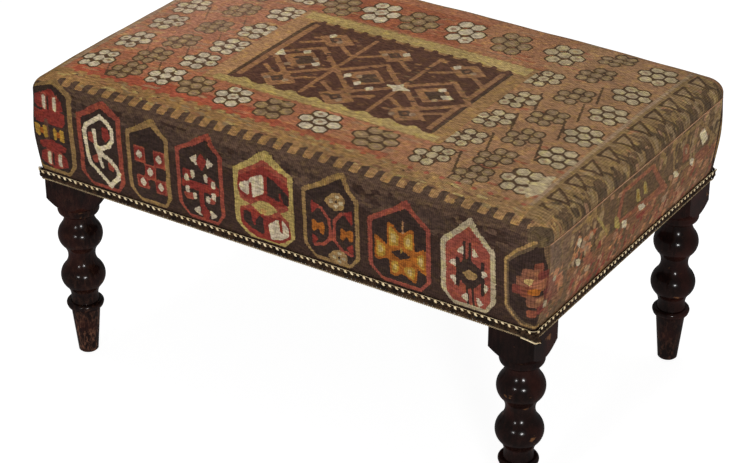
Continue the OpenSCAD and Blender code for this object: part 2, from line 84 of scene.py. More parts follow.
# The floor, with its two greys, and the round wall at its edge
FLOOR_HALF = 8.0
FLOOR_GLOW = 0.92
FLOOR_GREYS = (0.3, 0.32)
FLOOR_GRAIN = 30.0
BACKDROP_H = 6.0
BACKDROP_SIDES = 64

# Thickness of the seat's layers, and the play between two of them
LAYER_GAP = 0.3 * MM
COVER_T = 1.5 * MM
WADDING_T = 6 * MM
LINING_T = 0.6 * MM

# The seat's form: it rises to its middle, its sides swell out and its edges are rounded
MIDDLE_CROWN = 8 * MM
EDGE_CROWN = 7 * MM
CROWN_POWER = 2.4
EDGE_R = 20 * MM
LOW_CORNER_R = 6 * MM
SWELL = 11 * MM
SWELL_SHARE = 0.85
FOLD_Z = 380 * MM
UNEVEN = 0.3 * MM
UNEVEN_FROM = 40 * MM

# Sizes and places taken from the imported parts
post_low, post_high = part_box("leg_back_right")
cover_low, cover_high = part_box("cover")
braid_low, braid_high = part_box("gimp")
cord_low, cord_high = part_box("edge_cord")
seam_low, seam_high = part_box("seam_right")
HALF_L = post_high.x + COVER_T + LAYER_GAP
HALF_W = post_high.y + COVER_T + LAYER_GAP
FRAME_TOP = post_high.z
BASE_Z = cover_low.z
TOP_Z = cover_high.z - MIDDLE_CROWN - EDGE_CROWN
SIDE_H = TOP_Z - BASE_Z
SEAM_DROP = TOP_Z - (seam_low.z + seam_high.z) / 2
PANEL_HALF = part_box("side_panel_right")[1].y + LAYER_GAP
BRAID_Z = (braid_low.z + braid_high.z) / 2

# How far each layer lies inside the cover's outer face
WADDING_IN = COVER_T + 1 * MM
LINING_IN = WADDING_IN + WADDING_T + LAYER_GAP
FOAM_IN = LINING_IN + LINING_T + LAYER_GAP

# Counts of the seat's grid: cells along, across, in a wrap, above the seam and below it, and its rounds of
# subdivision; the hem is turned in
CELLS_L = 72
CELLS_SIDE = 44
CELLS_WRAP = 2
ROWS_ABOVE = 2
ROWS_BELOW = 10
SUBDIVISIONS = 2
HEM = 4 * MM

# The cloth simulation: its settings, with the pressure under the cloth, its frames, and the cap that holds
# back a swelling of several centimetres, so that the seat keeps the form given above
CLOTH_SETTINGS = {
    "quality": 6, "mass": 0.4, "tension_stiffness": 25, "compression_stiffness": 25, "shear_stiffness": 15,
    "bending_stiffness": 2.0, "air_damping": 4, "use_pressure": True, "uniform_pressure_force": 4.0,
    "vertex_group_mass": "pinned",
}
CLOTH_FRAMES = 20
CLOTH_CAP = 2.5 * MM

# Sections of yarns and strands: half width, half height and number of sides
BRAID_STRAND = (1.15 * MM, 2.6 * MM, 8)
END_STRAND = (1.1 * MM, 2.6 * MM, 8)
END_CORD = (1.2 * MM, 1.2 * MM, 8)
THREAD = (0.3 * MM, 0.35 * MM, 6)
STITCH = (1.0 * MM, 2.1 * MM, 6)
SEAM_YARN = (0.55 * MM, 0.75 * MM, 6)

# The braid: pitch and steps in a pitch, its middle outside the cover, and how its strands rise and cross;
# at the corners it stands out in a fold
BRAID_PITCH = 21.2 * MM
BRAID_STEPS = 12
BRAID_OUT = LAYER_GAP + 1.6 * MM
BRAID_RISE = 4.3 * MM
BRAID_CROSS = 0.75 * MM
FOLD_OUT = 1.8 * MM
FOLD_HALF = 8 * MM

# The braid's loose end: its length and start, how far out it is, and how it drops and thins
END_LENGTH = 32 * MM
END_START = 18 * MM
END_OUT = LAYER_GAP + 4.2 * MM
END_SPLAY = 1.2 * MM
END_DROP = 2.5 * MM
END_RISE = 3.4 * MM
END_CROSS = 0.7 * MM
END_CORD_DROP = 7.2 * MM
END_STEPS = 30
END_THIN_SHARE = 0.75
END_THIN_FROM_SHARE = 0.7

# The stitches over the braid: their pitch, place, length, lean and how they sink in at their ends
STITCH_PITCH = BRAID_PITCH / 2
STITCH_OUT = LAYER_GAP + 3.2 * MM
STITCH_STEPS = 6
STITCH_HIGH = 0.2 * MM
STITCH_STAND = 0.5 * MM
STITCH_SINK = 1.2 * MM
STITCH_LENGTH = 4.8 * MM
STITCH_LEAN = 1.6 * MM
STITCH_VARY = 0.8 * MM
THREAD_DIP = 0.9 * MM

# The twisted cord under the braid; the shares are of its radius
CORD_PITCH = 6.5 * MM
CORD_STEPS = 8
CORD_FOLD = 1.5 * MM
CORD_TWIST_SHARE = 0.45
CORD_STRAND_SHARE = 0.58
CORD_SIDES = 6

# The chain stitches of the side seams
SEAM_PITCH = 7 * MM
SEAM_STEPS = 400
SEAM_OUT = 0.5 * MM
SEAM_RISE = 0.55 * MM
SEAM_CROSS = 0.3 * MM

# The hessian and the dust cover: cells along and across, how far they dip, sag and ripple, how many dips
# there are along and across, and how close the ripples are, in radians per metre
HESSIAN_CELLS = (160, 100)
HESSIAN_DIP = 0.1 * MM
HESSIAN_DIPS = (9, 5.5)
DUST_CELLS = (84, 54)
DUST_SAG = 1.6 * MM
DUST_RIPPLE = 0.25 * MM
DUST_RIPPLES = 90

# The weave: the pitch of its ribs and of the wefts over them, how finely its drawing is kept, and the
# step and count of the samples that a face and its corners take of it
RIB_PITCH = 3.0 * MM
WEFT_PITCH = 1.3 * MM
CANVAS_STEP = 0.75 * MM
SAMPLE_STEP = 0.9 * MM
FACE_SAMPLES = 6
CORNER_SAMPLES = 4

# Wear of the top: where it begins and over what distance it grows, the share of the dust at the right and
# the back, its tint, and the colour and share of the pale patch at the left
TOP_ONLY = (10 * MM, -30 * MM)
DUST_RIGHT = (-150 * MM, 520 * MM)
DUST_BACK = (-100 * MM, 420 * MM)
DUST_RIGHT_SHARE = 0.2
DUST_BACK_SHARE = 0.088
DUST_TINT = (1.326, 1.02, 0.6732)
PALE_LEFT = (-120 * MM, -220 * MM)
PALE_BACK = (-190 * MM, 160 * MM)
PALE = (206, 166, 146)
PALE_SHARE = 0.18

# The two colours of the stage, and the three directions as rows that a list of places can take
WHITE = (1, 1, 1, 1)
BLACK = (0, 0, 0, 1)
ALONG, BACK, UP = np.eye(3)[:, None]


def linear(colour):
    """A colour given as red, green and blue out of 255, in the renderer's linear values"""
    c = np.asarray(colour, float) / 255
    return np.where(c <= 0.04045, c / 12.92, ((c + 0.055) / 1.055) ** 2.4)


def rgba(colour):
    return (*linear(colour), 1.0)


def smooth(x):
    x = np.clip(x, 0, 1)
    return x * x * (3 - 2 * x)


# Meshes


def make_object(name, verts, faces):
    """A piece of these points and faces, smooth to look at"""
    mesh = bpy.data.meshes.new(name)
    mesh.from_pydata(np.asarray(verts).tolist(), [], [list(map(int, f)) for f in faces])
    mesh.validate()
    mesh.shade_smooth()
    piece = bpy.data.objects.new(name, mesh)
    scene.collection.objects.link(piece)
    return piece


def read(items, key, size, kind=float):
    """One value of each item of a mesh, as the rows of an array"""
    flat = np.empty(len(items) * size, kind)
    items.foreach_get(key, flat)
    return flat.reshape(-1, size)


def coordinates(mesh):
    return read(mesh.vertices, "co", 3)


def corner_points(mesh):
    """The point number of each face's corners"""
    return read(mesh.loops, "vertex_index", 1, int).reshape(-1, 4)


def net_of(mesh):
    """Where each face's corners lie on the flat cloth"""
    return read(mesh.uv_layers["net"].uv, "vector", 2).reshape(-1, 4, 2)


def set_net(mesh, net):
    mesh.uv_layers.new(name="net").uv.foreach_set("vector", net.ravel())


def normals(mesh, places):
    """Moves the mesh to the places and gives the direction out of its surface at each"""
    mesh.vertices.foreach_set("co", places.ravel())
    mesh.update()
    return read(mesh.vertices, "normal", 3)


def grid_faces(numbers):
    """The square faces between neighbours in a grid of point numbers"""
    corners = [numbers[:-1, :-1], numbers[:-1, 1:], numbers[1:, 1:], numbers[1:, :-1]]
    return np.stack(corners, -1).reshape(-1, 4)


def flat_grid(low, high, cells):
    """Places along and across between two corners of a box, and the faces between them"""
    rows = [np.linspace(low[k], high[k], cells[k] + 1) for k in (0, 1)]
    along, across = np.meshgrid(*rows)
    return along, across, grid_faces(np.arange(along.size).reshape(along.shape))


def apply_modifiers(piece):
    """Replaces the piece's mesh by what its modifiers make of it"""
    graph = bpy.context.evaluated_depsgraph_get()
    mesh = bpy.data.meshes.new_from_object(piece.evaluated_get(graph), depsgraph=graph)
    piece.modifiers.clear()
    piece.data = mesh
    return piece


def subdivided(piece, points, kind):
    """The piece's mesh with its points moved there, after some rounds of subdivision"""
    copy = bpy.data.objects.new("subdividing", piece.data.copy())
    scene.collection.objects.link(copy)
    copy.data.vertices.foreach_set("co", points.ravel())
    modifier = copy.modifiers.new("subdivision", "SUBSURF")
    modifier.subdivision_type = kind
    modifier.levels = SUBDIVISIONS
    modifier.render_levels = SUBDIVISIONS
    modifier.uv_smooth = "NONE"
    mesh = apply_modifiers(copy).data
    bpy.data.objects.remove(copy)
    return mesh


# The seat's form; an inset gives the form of a layer that far inside the cover


def rounded(sharp, inset):
    """Points of a sharp box moved onto the padded surface, with their level way out of it"""
    x, y, z = sharp.T
    half_l, half_w, radius = HALF_L - inset, HALF_W - inset, EDGE_R - inset
    shoulder = TOP_Z - inset - radius
    narrow = min(LOW_CORNER_R, radius)
    corner = narrow + (radius - narrow) * smooth((z - FOLD_Z) / (shoulder - FOLD_Z))
    corner = np.where(z > shoulder, radius, corner)
    core_x = np.clip(x, corner - half_l, half_l - corner)
    core_y = np.clip(y, corner - half_w, half_w - corner)
    core = np.stack([core_x, core_y, np.minimum(z, shoulder)], 1)
    out = sharp - core
    out /= np.maximum(np.linalg.norm(out, axis=1, keepdims=True), TINY)
    place = core + out * corner[:, None]

    rise = np.clip((place[:, 2] - braid_high.z) / (SWELL_SHARE * (shoulder - braid_high.z)), 0, 1)
    level_out = out * [1, 1, 0]
    place += level_out * (SWELL * np.sin(rise * math.pi / 2))[:, None]

    edge_x, edge_y = np.clip(np.abs(place[:, :2].T) / [[half_l], [half_w]], 0, 1) ** CROWN_POWER
    lift = MIDDLE_CROWN * (1 - edge_x) * (1 - edge_y) + EDGE_CROWN * (1 - edge_x * edge_y)
    place[:, 2] += lift * np.clip(out[:, 2], 0, 1)
    return place, level_out


def skin_places(sharp, base, inset=0.0):
    """Places on the padded surface for points of the sharp box; those below its base are turned in"""
    inside = np.maximum(base - sharp[:, 2], 0)
    lifted = sharp.copy()
    lifted[:, 2] = np.maximum(sharp[:, 2], base)
    places, out = rounded(lifted, inset)
    return places - out * inside[:, None]


def box_patches(levels, inset):
    """The five sides of the sharp box: each side's name, its points and how many are in a row"""
    half_l, half_w = HALF_L - inset, HALF_W - inset
    xs = np.linspace(-half_l, half_l, CELLS_L + 1)
    wrap = np.linspace(PANEL_HALF, half_w, CELLS_WRAP + 1)[1:]
    ys = np.concatenate([-wrap[::-1], np.linspace(-PANEL_HALF, PANEL_HALF, CELLS_SIDE + 1), wrap])
    yield "top", [(x, y, levels[-1]) for y in ys for x in xs], len(xs)
    yield "front", [(x, -half_w, z) for z in levels for x in xs], len(xs)
    yield "back", [(x, half_w, z) for z in levels for x in xs[::-1]], len(xs)
    yield "right", [(half_l, y, z) for z in levels for y in ys], len(ys)
    yield "left", [(-half_l, y, z) for z in levels for y in ys[::-1]], len(ys)


def seat_grid(base, inset=0.0, hem=0.0):
    """The sharp box as a grid: its points, faces, each face's side and its corners' places"""
    top = TOP_Z - inset
    seam = top - SEAM_DROP
    levels = [*np.linspace(base, seam, ROWS_BELOW + 1), *np.linspace(seam, top, ROWS_ABOVE + 1)[1:]]
    if hem:
        levels = [base - hem] + levels
    points, faces, sides = [], [], []
    for side, grid, count in box_patches(levels, inset):
        quads = grid_faces(len(points) + np.arange(len(grid)).reshape(-1, count))
        points += grid
        faces.append(quads)
        sides += [side] * len(quads)
    points = np.array(points)
    faces = np.concatenate(faces)
    keys = np.round(points / (0.01 * MM)).astype(np.int64)
    _, first, merged = np.unique(keys, axis=0, return_index=True, return_inverse=True)
    return points[first], merged.ravel()[faces], sides, points[faces]


# Colours of the weave, as they look in even light

PALETTE = {
    "ground": (160, 102, 74),
    "dusty": (150, 110, 82),
    "flame": (156, 80, 58),
    "dark": (81, 61, 49),
    "dusk": (66, 49, 41),
    "shade": (55, 38, 31),
    "night": (50, 36, 31),
    "plum": (88, 58, 46),
    "outline": (84, 62, 44),
    "beige": (147, 110, 70),
    "fawn": (126, 98, 62),
    "olive": (140, 114, 82),
    "moss": (150, 128, 76),
    "tan": (144, 102, 70),
    "cream": (188, 172, 146),
    "white": (172, 156, 134),
    "oat": (154, 138, 112),
    "bone": (170, 152, 120),
    "straw": (166, 140, 88),
    "biscuit": (166, 124, 86),
    "red": (114, 42, 35),
    "coral": (128, 61, 48),
    "salmon": (125, 62, 50),
    "yellow": (150, 114, 45),
    "orange": (138, 79, 29),
    "khaki": (134, 105, 68),
    "bark": (98, 75, 54),
    "rose": (120, 84, 59),
    "brick": (112, 61, 45),
    "petal": (112, 71, 53),
    "wine": (100, 49, 41),
    "blush": (134, 83, 61),
    "dusky": (88, 70, 52),
    "sand": (154, 112, 78),
    "clay": (158, 107, 75),
    "russet": (150, 86, 60),
    "umber": (104, 80, 58),
    "faded": (150, 122, 96),
}
NAMES = list(PALETTE)


class Canvas:
    """A flat drawing of woven shapes: one colour number for each small square"""

    def __init__(self, half_u, half_v, ground):
        self.step = CANVAS_STEP
        self.low = np.array([-half_u, -half_v])
        self.shape = (int(2 * half_v / self.step) + 1, int(2 * half_u / self.step) + 1)
        self.ids = np.full(self.shape, NAMES.index(ground), np.uint8)

    def fill(self, colour, points):
        p = np.asarray(points, float)
        low = np.floor((p.min(0) - self.low) / self.step).astype(int) - 1
        high = np.ceil((p.max(0) - self.low) / self.step).astype(int) + 2
        low = np.maximum(low, 0)
        high = np.minimum(high, self.shape[::-1])
        if (high <= low).any():
            return
        u = self.low[0] + self.step * np.arange(low[0], high[0])[None, :]
        v = self.low[1] + self.step * np.arange(low[1], high[1])[:, None]
        inside = np.zeros((high[1] - low[1], high[0] - low[0]), bool)
        for (u0, v0), (u1, v1) in zip(p, np.roll(p, -1, 0)):
            if v0 != v1:
                crossed = (v0 > v) != (v1 > v)
                inside ^= crossed & (u < u0 + (v - v0) * (u1 - u0) / (v1 - v0))
        self.ids[low[1]:high[1], low[0]:high[0]][inside] = NAMES.index(colour)

    def at(self, uv):
        i = np.round((uv - self.low) / self.step).astype(int)
        i = np.clip(i, 0, np.array(self.shape[::-1]) - 1)
        return self.ids[i[..., 1], i[..., 0]]


class Pen:
    """Draws on a canvas in millimetres from an origin; flip turns each axis round"""

    def __init__(self, canvas, origin=(0.0, 0.0), flip=(1, 1)):
        self.canvas = canvas
        self.origin = np.array(origin)
        self.flip = np.array(flip)

    def shape(self, colour, *points):
        self.canvas.fill(colour, self.origin + np.array(points, float) * self.flip * MM)

    def box(self, colour, x0, y0, x1, y1):
        self.shape(colour, (x0, y0), (x1, y0), (x1, y1), (x0, y1))

    def diamond(self, colour, x, y, half_x, half_y):
        self.shape(colour, (x, y + half_y), (x + half_x, y), (x, y - half_y), (x - half_x, y))

    def hexagon(self, colour, x, y, half_x, half_y):
        low = half_y / 2
        self.shape(colour, (x, y + half_y), (x + half_x, y + low), (x + half_x, y - low),
                   (x, y - half_y), (x - half_x, y - low), (x - half_x, y + low))

    def stroke(self, colour, width, *points):
        """A line of that width through the points, with square joints"""
        p = np.array(points, float)
        for a, b in zip(p[:-1], p[1:]):
            way = (b - a) / np.linalg.norm(b - a)
            side = np.array([-way[1], way[0]]) * width / 2
            end = way * width / 2
            self.shape(colour, a - end + side, b + end + side, b + end - side, a - end - side)


# The rosettes of the field

ROSETTE_CELL = (10.2, 10.4)
ROSETTE_ROW = 18.4
ROSETTE_RIM = 3.0
ROSETTE_EYE = (0.5, 0.4)
FIELD_LINE = 2.6
FIELD_LINE_RIGHT = FIELD_LINE * 1.4


def rosette(pen, x, y, fill, wide=1.0, tall=1.0, lean=0.0):
    """Seven hexagons, two over three over two; lean pushes the upper row to the right"""
    half_x = ROSETTE_CELL[0] * wide
    half_y = ROSETTE_CELL[1] * tall
    row = ROSETTE_ROW * tall
    places = [(x + k * 2 * half_x, y) for k in (-1, 0, 1)]
    places += [(x + k * half_x + s * lean, y + s * row) for s in (-1, 1) for k in (-1, 1)]
    for place in places:
        pen.hexagon("outline", *place, half_x + ROSETTE_RIM / 2, half_y + ROSETTE_RIM / 2)
    for k, place in enumerate(places):
        pen.hexagon(fill, *place, half_x - ROSETTE_RIM / 2, half_y - ROSETTE_RIM / 2)
        if fill == "olive" or (k + int(x) + int(y)) % 4 == 0:
            pen.diamond("faded", *place, half_x * ROSETTE_EYE[0], half_y * ROSETTE_EYE[1])


def left_rosettes(pen):
    for x, y in ((-252, -187), (-238, -120), (-230, -56), (-227, 12), (-228, 90), (-232, 168), (-236, 240)):
        rosette(pen, x, y, "cream", 0.96, 1.02, 3)
    for x, y in ((-316, -198), (-312, -140), (-305, -77), (-295, -8), (-297, 68), (-300, 140), (-302, 212)):
        rosette(pen, x, y, "olive", 0.84, 0.98, 5)
    for x, y in ((-381, -185), (-375, -105), (-372, -26), (-378, 43), (-380, 118), (-382, 192)):
        rosette(pen, x, y, "cream", 0.94, 1.08, 3)


def right_rosettes(pen):
    for x, y, tall in ((213, -191, 1.05), (226, -122, 0.95), (230, -50, 1.0), (231, 22, 1.0),
                       (224, 103, 1.05)):
        rosette(pen, x, y, "bone", 0.9, tall, 6)
    for x, y in ((286, -208), (290, -149), (293, -77), (292, -5), (290, 78), (282, 160), (282, 232)):
        rosette(pen, x, y, "olive", 0.85, 1.0, 6)
    for x, y, tall in ((352, -184, 1.15), (362, -101, 1.02), (362, -25, 1.02), (360, 53, 1.0),
                       (357, 130, 1.0), (357, 215, 1.15)):
        rosette(pen, x, y, "bone", 1.04, tall)


def row_rosettes(pen):
    """The rosettes between the medallion and the long borders"""
    for x, fill, wide in ((-192, "olive", 0.95), (-125, "cream", 0.98), (-53, "olive", 1.05),
                          (27, "cream", 1.14), (121, "olive", 1.2)):
        rosette(pen, x, -192, fill, wide, 1.05)
    for x, y, fill, tall in ((-172, 165, "olive", 1.3), (-107, 178, "cream", 1.45),
                             (-38, 178, "olive", 1.4), (42, 186, "cream", 1.5), (122, 188, "olive", 1.45),
                             (208, 198, "bone", 1.3)):
        rosette(pen, x, y, fill, 1.08, tall, -4)


def field_lines(pen):
    """Thin dark lines that join the columns of rosettes aslant"""
    for first, x in ((60, 245), (-15, 248), (-87, 250), (-158, 240), (130, 308), (65, 312), (0, 316),
                     (-70, 318), (-160, 326)):
        pen.stroke("outline", FIELD_LINE_RIGHT, (x + 2, first - 2), (x + 20, first - 56))
    for first, x in ((-20, -352), (60, -352), (-95, -350), (-175, -362)):
        pen.stroke("outline", FIELD_LINE, (x, first), (x + 26, first - 52))
    for first, x in ((50, -275), (-20, -272), (-85, -284), (-150, -288)):
        pen.stroke("outline", FIELD_LINE, (x, first), (x + 26, first - 50))


# The medallion in the middle of the top


def medallion(pen):
    """A dark lattice of diamonds in a beige frame, toothed above and below"""
    pen.box("beige", -206, -160, 206, 126)
    pen.box("biscuit", -206, -150, -172, 116)
    pen.box("straw", -198, 96, 198, 122)
    pen.box("straw", -190, -157, 196, -140)
    pen.box("plum", -172, -140, 180, 90)
    for k in range(14):
        x = -164 + k * 25.4
        pen.shape("plum", (x, 84), (x, 100), (x + 9, 97), (x + 13, 84))
    for k in range(8):
        x = -160 + k * 42
        pen.shape("straw", (x, -143), (x + 12, -131), (x + 24, -135), (x + 36, -143))
    for k in range(16):
        x = -194 + k * 25
        pen.shape("ground", (x, 130), (x + 4, 119), (x + 10, 130))
        pen.shape("ground", (x, -165), (x + 6, -154), (x + 12, -165))
    pen.box("outline", -176, -138, -170, 86)
    pen.box("tan", -168, -128, -157, 82)
    pen.box("tan", 164, -130, 173, 84)
    pen.box("dark", 176, -136, 181, 92)
    for x in (-50, 66):
        pen.stroke("tan", 7, (x, 76), (x, -128))
    for x, y in ((-105, -38), (10, -40), (124, -35)):
        pen.diamond("tan", x, y, 62, 58)
        pen.diamond("plum", x, y, 50, 46)
        pen.diamond("tan", x - 4, y, 34, 30)
        pen.diamond("dark", x, y, 22, 18)
    for x, y in ((-103, 47), (2, 48), (121, 60), (-103, -110), (4, -116), (118, -108)):
        pen.stroke("tan", 7, (x, y), (x - 44, y - 34 if y > 0 else y + 30))
        pen.stroke("tan", 7, (x, y), (x + 44, y - 34 if y > 0 else y + 30))
        pen.diamond("tan", x, y, 32, 26)
        pen.diamond("dark", x - 2, y, 13, 11)
        pen.diamond("rose", x - 2, y, 5, 5)
    scatter(pen, ("rose", "dark", "umber", "plum", "tan"), 170, (-164, -126), (160, 78), (9, 5), 0.4)
    light_squares(pen)


def light_squares(pen):
    for x, y in ((-118, 58), (13, 60), (100, 64), (-118, -12), (-82, -42), (-22, -47), (5, -62), (30, -68),
                 (122, -15)):
        pen.diamond("cream", x, y, 7, 9)
    for x, y in ((-97, 44), (-14, 42), (131, 58), (-92, -27), (-120, -62), (-95, -60), (-5, -42),
                 (130, -50), (-120, -115), (-90, -110), (100, -118), (127, -105), (12, -122)):
        pen.diamond("faded", x, y, 6, 7)
    pen.diamond("cream", 64, -43, 23, 9)
    pen.diamond("cream", 64, -43, 9, 16)
    pen.shape("cream", (-158, -20), (-140, -36), (-155, -46))
    pen.diamond("cream", 140, -33, 12, 8)


# The borders of the top


def long_border(pen):
    """The toothed beige band along one long edge; the face below it is dark"""
    pen.box("dark", -470, 272, 470, 460)
    pen.box("dusk", -470, 292, 470, 460)
    pen.box("shade", -470, 316, 470, 460)
    scatter(pen, ("dark", "dusk", "shade"), 260, (-466, 284), (452, 318), (22, 6), 0.5)
    pen.box("beige", -470, 232, 470, 273)
    scatter(pen, ("straw", "tan", "olive", "khaki", "rose"), 240, (-466, 233), (452, 262), (13, 5), 0.6)
    for k in range(3, 35):
        x = -470 + k * 25.6
        pen.shape("dark", (x, 275), (x, 261), (x + 11, 259), (x + 12, 275))
        pen.shape("flame", (x + 3, 236), (x + 8, 231), (x + 15, 235), (x + 9, 239))
    for k in range(24):
        x = -452 + k * 38.4
        pen.diamond("outline", x, 246, 4, 1.8)


def back_border(pen):
    """The plainer back edge of the top: the beige band runs over it, then the dark face"""
    pen.box("dark", -470, 292, 470, 460)
    pen.box("dusk", -470, 304, 470, 460)
    pen.box("shade", -470, 328, 470, 460)
    pen.box("tan", -470, 262, 470, 294)
    scatter(pen, ("olive", "khaki", "clay", "tan"), 170, (-466, 258), (452, 286), (16, 6), 0.6)


def short_border(pen):
    """A band of dark-edged triangles over olive tongues along one short edge, down to the seam"""
    pen.box("bark", 392, -262, 470, 290)
    pen.box("khaki", 392, -262, 424, 290)
    pen.box("faded", 390, -256, 396, 290)
    scatter(pen, ("dusky", "umber", "dusty"), 60, (424, -250), (456, 284), (9, 12), 0.2)
    scatter(pen, ("olive", "beige", "clay", "khaki"), 90, (396, -250), (420, 284), (9, 8), 0.2)
    for k in range(12):
        y = -252 + k * 47.5
        pen.shape("khaki", (412, y + 4), (436, y + 1), (454, y + 7), (458, y + 15), (452, y + 24),
                  (430, y + 30), (412, y + 38))
        pen.shape("olive", (428, y + 8), (446, y + 10), (448, y + 18), (430, y + 22))
    scatter(pen, ("umber", "olive", "bark", "khaki", "dusky"), 150, (406, -255), (452, 280), (8, 9), 0.3)
    for k in range(12):
        y = -252 + k * 47.5
        pen.stroke("outline", 4, (404, y + 34), (403, y + 2), (427, y + 12), (404, y + 34))
        pen.stroke("dusky", 4, (424, y + 20), (444, y + 34), (462, y + 38))
        pen.shape("olive", (406, y + 28), (406, y + 6), (421, y + 13))


# The medallions of the long faces: millimetres from the middle, and below the seat's edge


# The outline of every medallion: how far down its lower shoulders and its foot are, how far out the foot's
# ends are, and how much of an inset its apex and its foot move by
LOW_SHOULDER = 126
FOOT = 149
FOOT_SHARE = 0.6
APEX_INSET_SHARE = 1.3
FOOT_INSET_SHARE = 0.9


def pointed(pen, colour, left, right, apex, inset=0.0):
    """The outline of a medallion: each side as its distance and the height of its shoulder"""
    slope = APEX_INSET_SHARE * inset
    foot = FOOT - FOOT_INSET_SHARE * inset
    pen.shape(colour, (apex[0], apex[1] + slope), (right[0] - inset, right[1] + inset / 2),
              (right[0] - inset, LOW_SHOULDER), (right[0] * FOOT_SHARE, foot),
              (-left[0] * FOOT_SHARE, foot), (-left[0] + inset, LOW_SHOULDER),
              (-left[0] + inset, left[1] + inset / 2))


def framed(pen, colours, width, left, right, apex):
    """A medallion with a frame of the first colour, of that width, round the second"""
    pointed(pen, colours[0], left, right, apex)
    pointed(pen, colours[1], left, right, apex, width)


def medallion_of_bars(pen):
    """Red ovals with light bars above and below, and a yellow letter-like bar in the middle"""
    framed(pen, ("fawn", "night"), 8, (45, 10), (44, 10), (-3, -14))
    for y in (26, 122):
        pen.shape("red", (-25, y - 6), (0, y - 20), (25, y - 6), (28, y + 10), (0, y + 20), (-28, y + 10))
        for x in (-13, 8):
            pen.box("coral", x - 2, y - 12, x + 9, y + 14)
            pen.box("white", x, y - 9, x + 7, y + 13)
        pen.box("night", -4, y - 9, 0, y + 14)
    pen.shape("red", (-30, 44), (30, 40), (30, 56), (24, 64), (-24, 64), (-30, 58))
    pen.box("plum", -12, 56, -4, 104)
    pen.shape("red", (-28, 98), (0, 90), (28, 98), (22, 108), (-24, 108))
    for x in (-29, 4):
        pen.box("yellow", x, 68, x + 7, 89)
        pen.box("yellow", x + 13, 68, x + 22, 88)
        pen.box("orange", x + 6, 74, x + 14, 84)


def medallion_of_loops(pen):
    """A light hooked line in two loops, with red wedges in them"""
    framed(pen, ("coral", "night"), 8.5, (44, 30), (40, 18), (2, 2))
    pen.shape("red", (4, 38), (16, 41), (20, 54), (10, 64), (4, 58))
    pen.shape("coral", (-24, 56), (-13, 53), (-14, 73), (-24, 68))
    pen.shape("coral", (-19, 95), (-8, 87), (-7, 102), (-16, 106))
    pen.shape("coral", (12, 96), (23, 103), (20, 113), (11, 109))
    pen.stroke("cream", 7, (-11, 50), (-10, 77), (0, 77), (15, 69), (23, 58), (23, 41), (15, 31), (2, 24),
               (-13, 35), (-26, 44), (-30, 55), (-29, 76), (-27, 96), (-23, 107), (-9, 120), (3, 131),
               (9, 141), (17, 131), (27, 122), (30, 112), (26, 102), (16, 93), (3, 88), (-7, 84))
    pen.stroke("cream", 6, (-7, 84), (-4, 96), (0, 108))


def medallion_of_squares(pen):
    """Five red squares, each with a light middle"""
    framed(pen, ("fawn", "night"), 7.5, (41, 32), (37, 28), (6, 6))
    for x, y, half in ((-18, 66, 13.5), (18, 66, 14), (0, 91, 12.5), (-14, 111, 11.5), (18, 112, 12.5)):
        pen.box("coral", x - 10.5, y - half, x + 10.5, y + half)
        pen.box("red", x - 8.5, y - half + 3, x + 8.5, y + half - 3)
        pen.diamond("white", x, y, 6.5, 9)


def medallion_of_cross(pen):
    """Light triangles above and below, and a red hooked cross with light bits"""
    framed(pen, ("coral", "night"), 6.5, (42, 34), (41, 28), (13, 4))
    for y in (46, 132):
        pen.shape("white", (-18, y), (-4, y - 10), (-3, y + 10))
        pen.shape("white", (27, y), (13, y - 9), (13, y + 10))
        pen.shape("red", (4, y - 14), (14, y - 2), (5, y + 17), (-6, y + 3))
    pen.box("red", -34, 82, 33, 96)
    pen.shape("red", (-32, 66), (-16, 66), (-12, 78), (-32, 80))
    pen.shape("red", (8, 66), (26, 72), (30, 82), (10, 80))
    pen.shape("coral", (-32, 104), (-12, 102), (-12, 114), (-28, 116))
    pen.shape("coral", (10, 104), (28, 100), (24, 112), (10, 114))
    pen.box("red", -3, 94, 5, 126)
    for x, y in ((-13, 71), (10, 72), (-25, 79), (23, 80), (-24, 99), (-11, 107), (12, 107), (23, 99)):
        pen.box("white", x - 3.5, y - 6, x + 3.5, y + 6)


def medallion_of_quarters(pen):
    """Two red hexagons, quartered light and dark, with a yellow-green belt between them"""
    framed(pen, ("moss", "coral"), 8.5, (52, 38), (51, 26), (0, 3))
    pen.shape("red", (0, 22), (44, 44), (45, 74), (20, 84), (-10, 80), (-30, 84), (-45, 74), (-44, 50))
    pen.shape("night", (7, 36), (20, 42), (43, 58), (43, 76), (25, 72), (7, 68))
    pen.shape("white", (-42, 60), (-25, 53), (-22, 47), (-5, 38), (1, 38), (1, 66), (-17, 78), (-27, 77),
              (-41, 71))
    pen.box("red", -25, 55, -20, 79)
    pen.stroke("red", 4, (28, 60), (34, 78))
    pen.shape("moss", (-52, 80), (-40, 86), (-24, 92), (-44, 100), (-52, 104))
    pen.shape("moss", (-24, 91), (-6, 80), (10, 80), (24, 90), (6, 101), (-8, 101))
    pen.shape("moss", (26, 92), (44, 82), (51, 80), (51, 104), (42, 101))
    pen.diamond("beige", -2, 96, 8, 5)
    pen.shape("red", (-42, 102), (-20, 98), (0, 104), (24, 100), (44, 108), (44, 130), (20, 146),
              (-20, 146), (-42, 130))
    pen.shape("night", (-37, 104), (-24, 102), (-22, 122), (-8, 104), (-2, 108), (-4, 138), (-24, 132),
              (-38, 122))
    pen.stroke("red", 5, (-21, 100), (-19, 122))
    pen.shape("white", (5, 116), (20, 104), (32, 102), (41, 112), (41, 126), (25, 138), (7, 142))
    pen.stroke("red", 5, (27, 100), (28, 122))


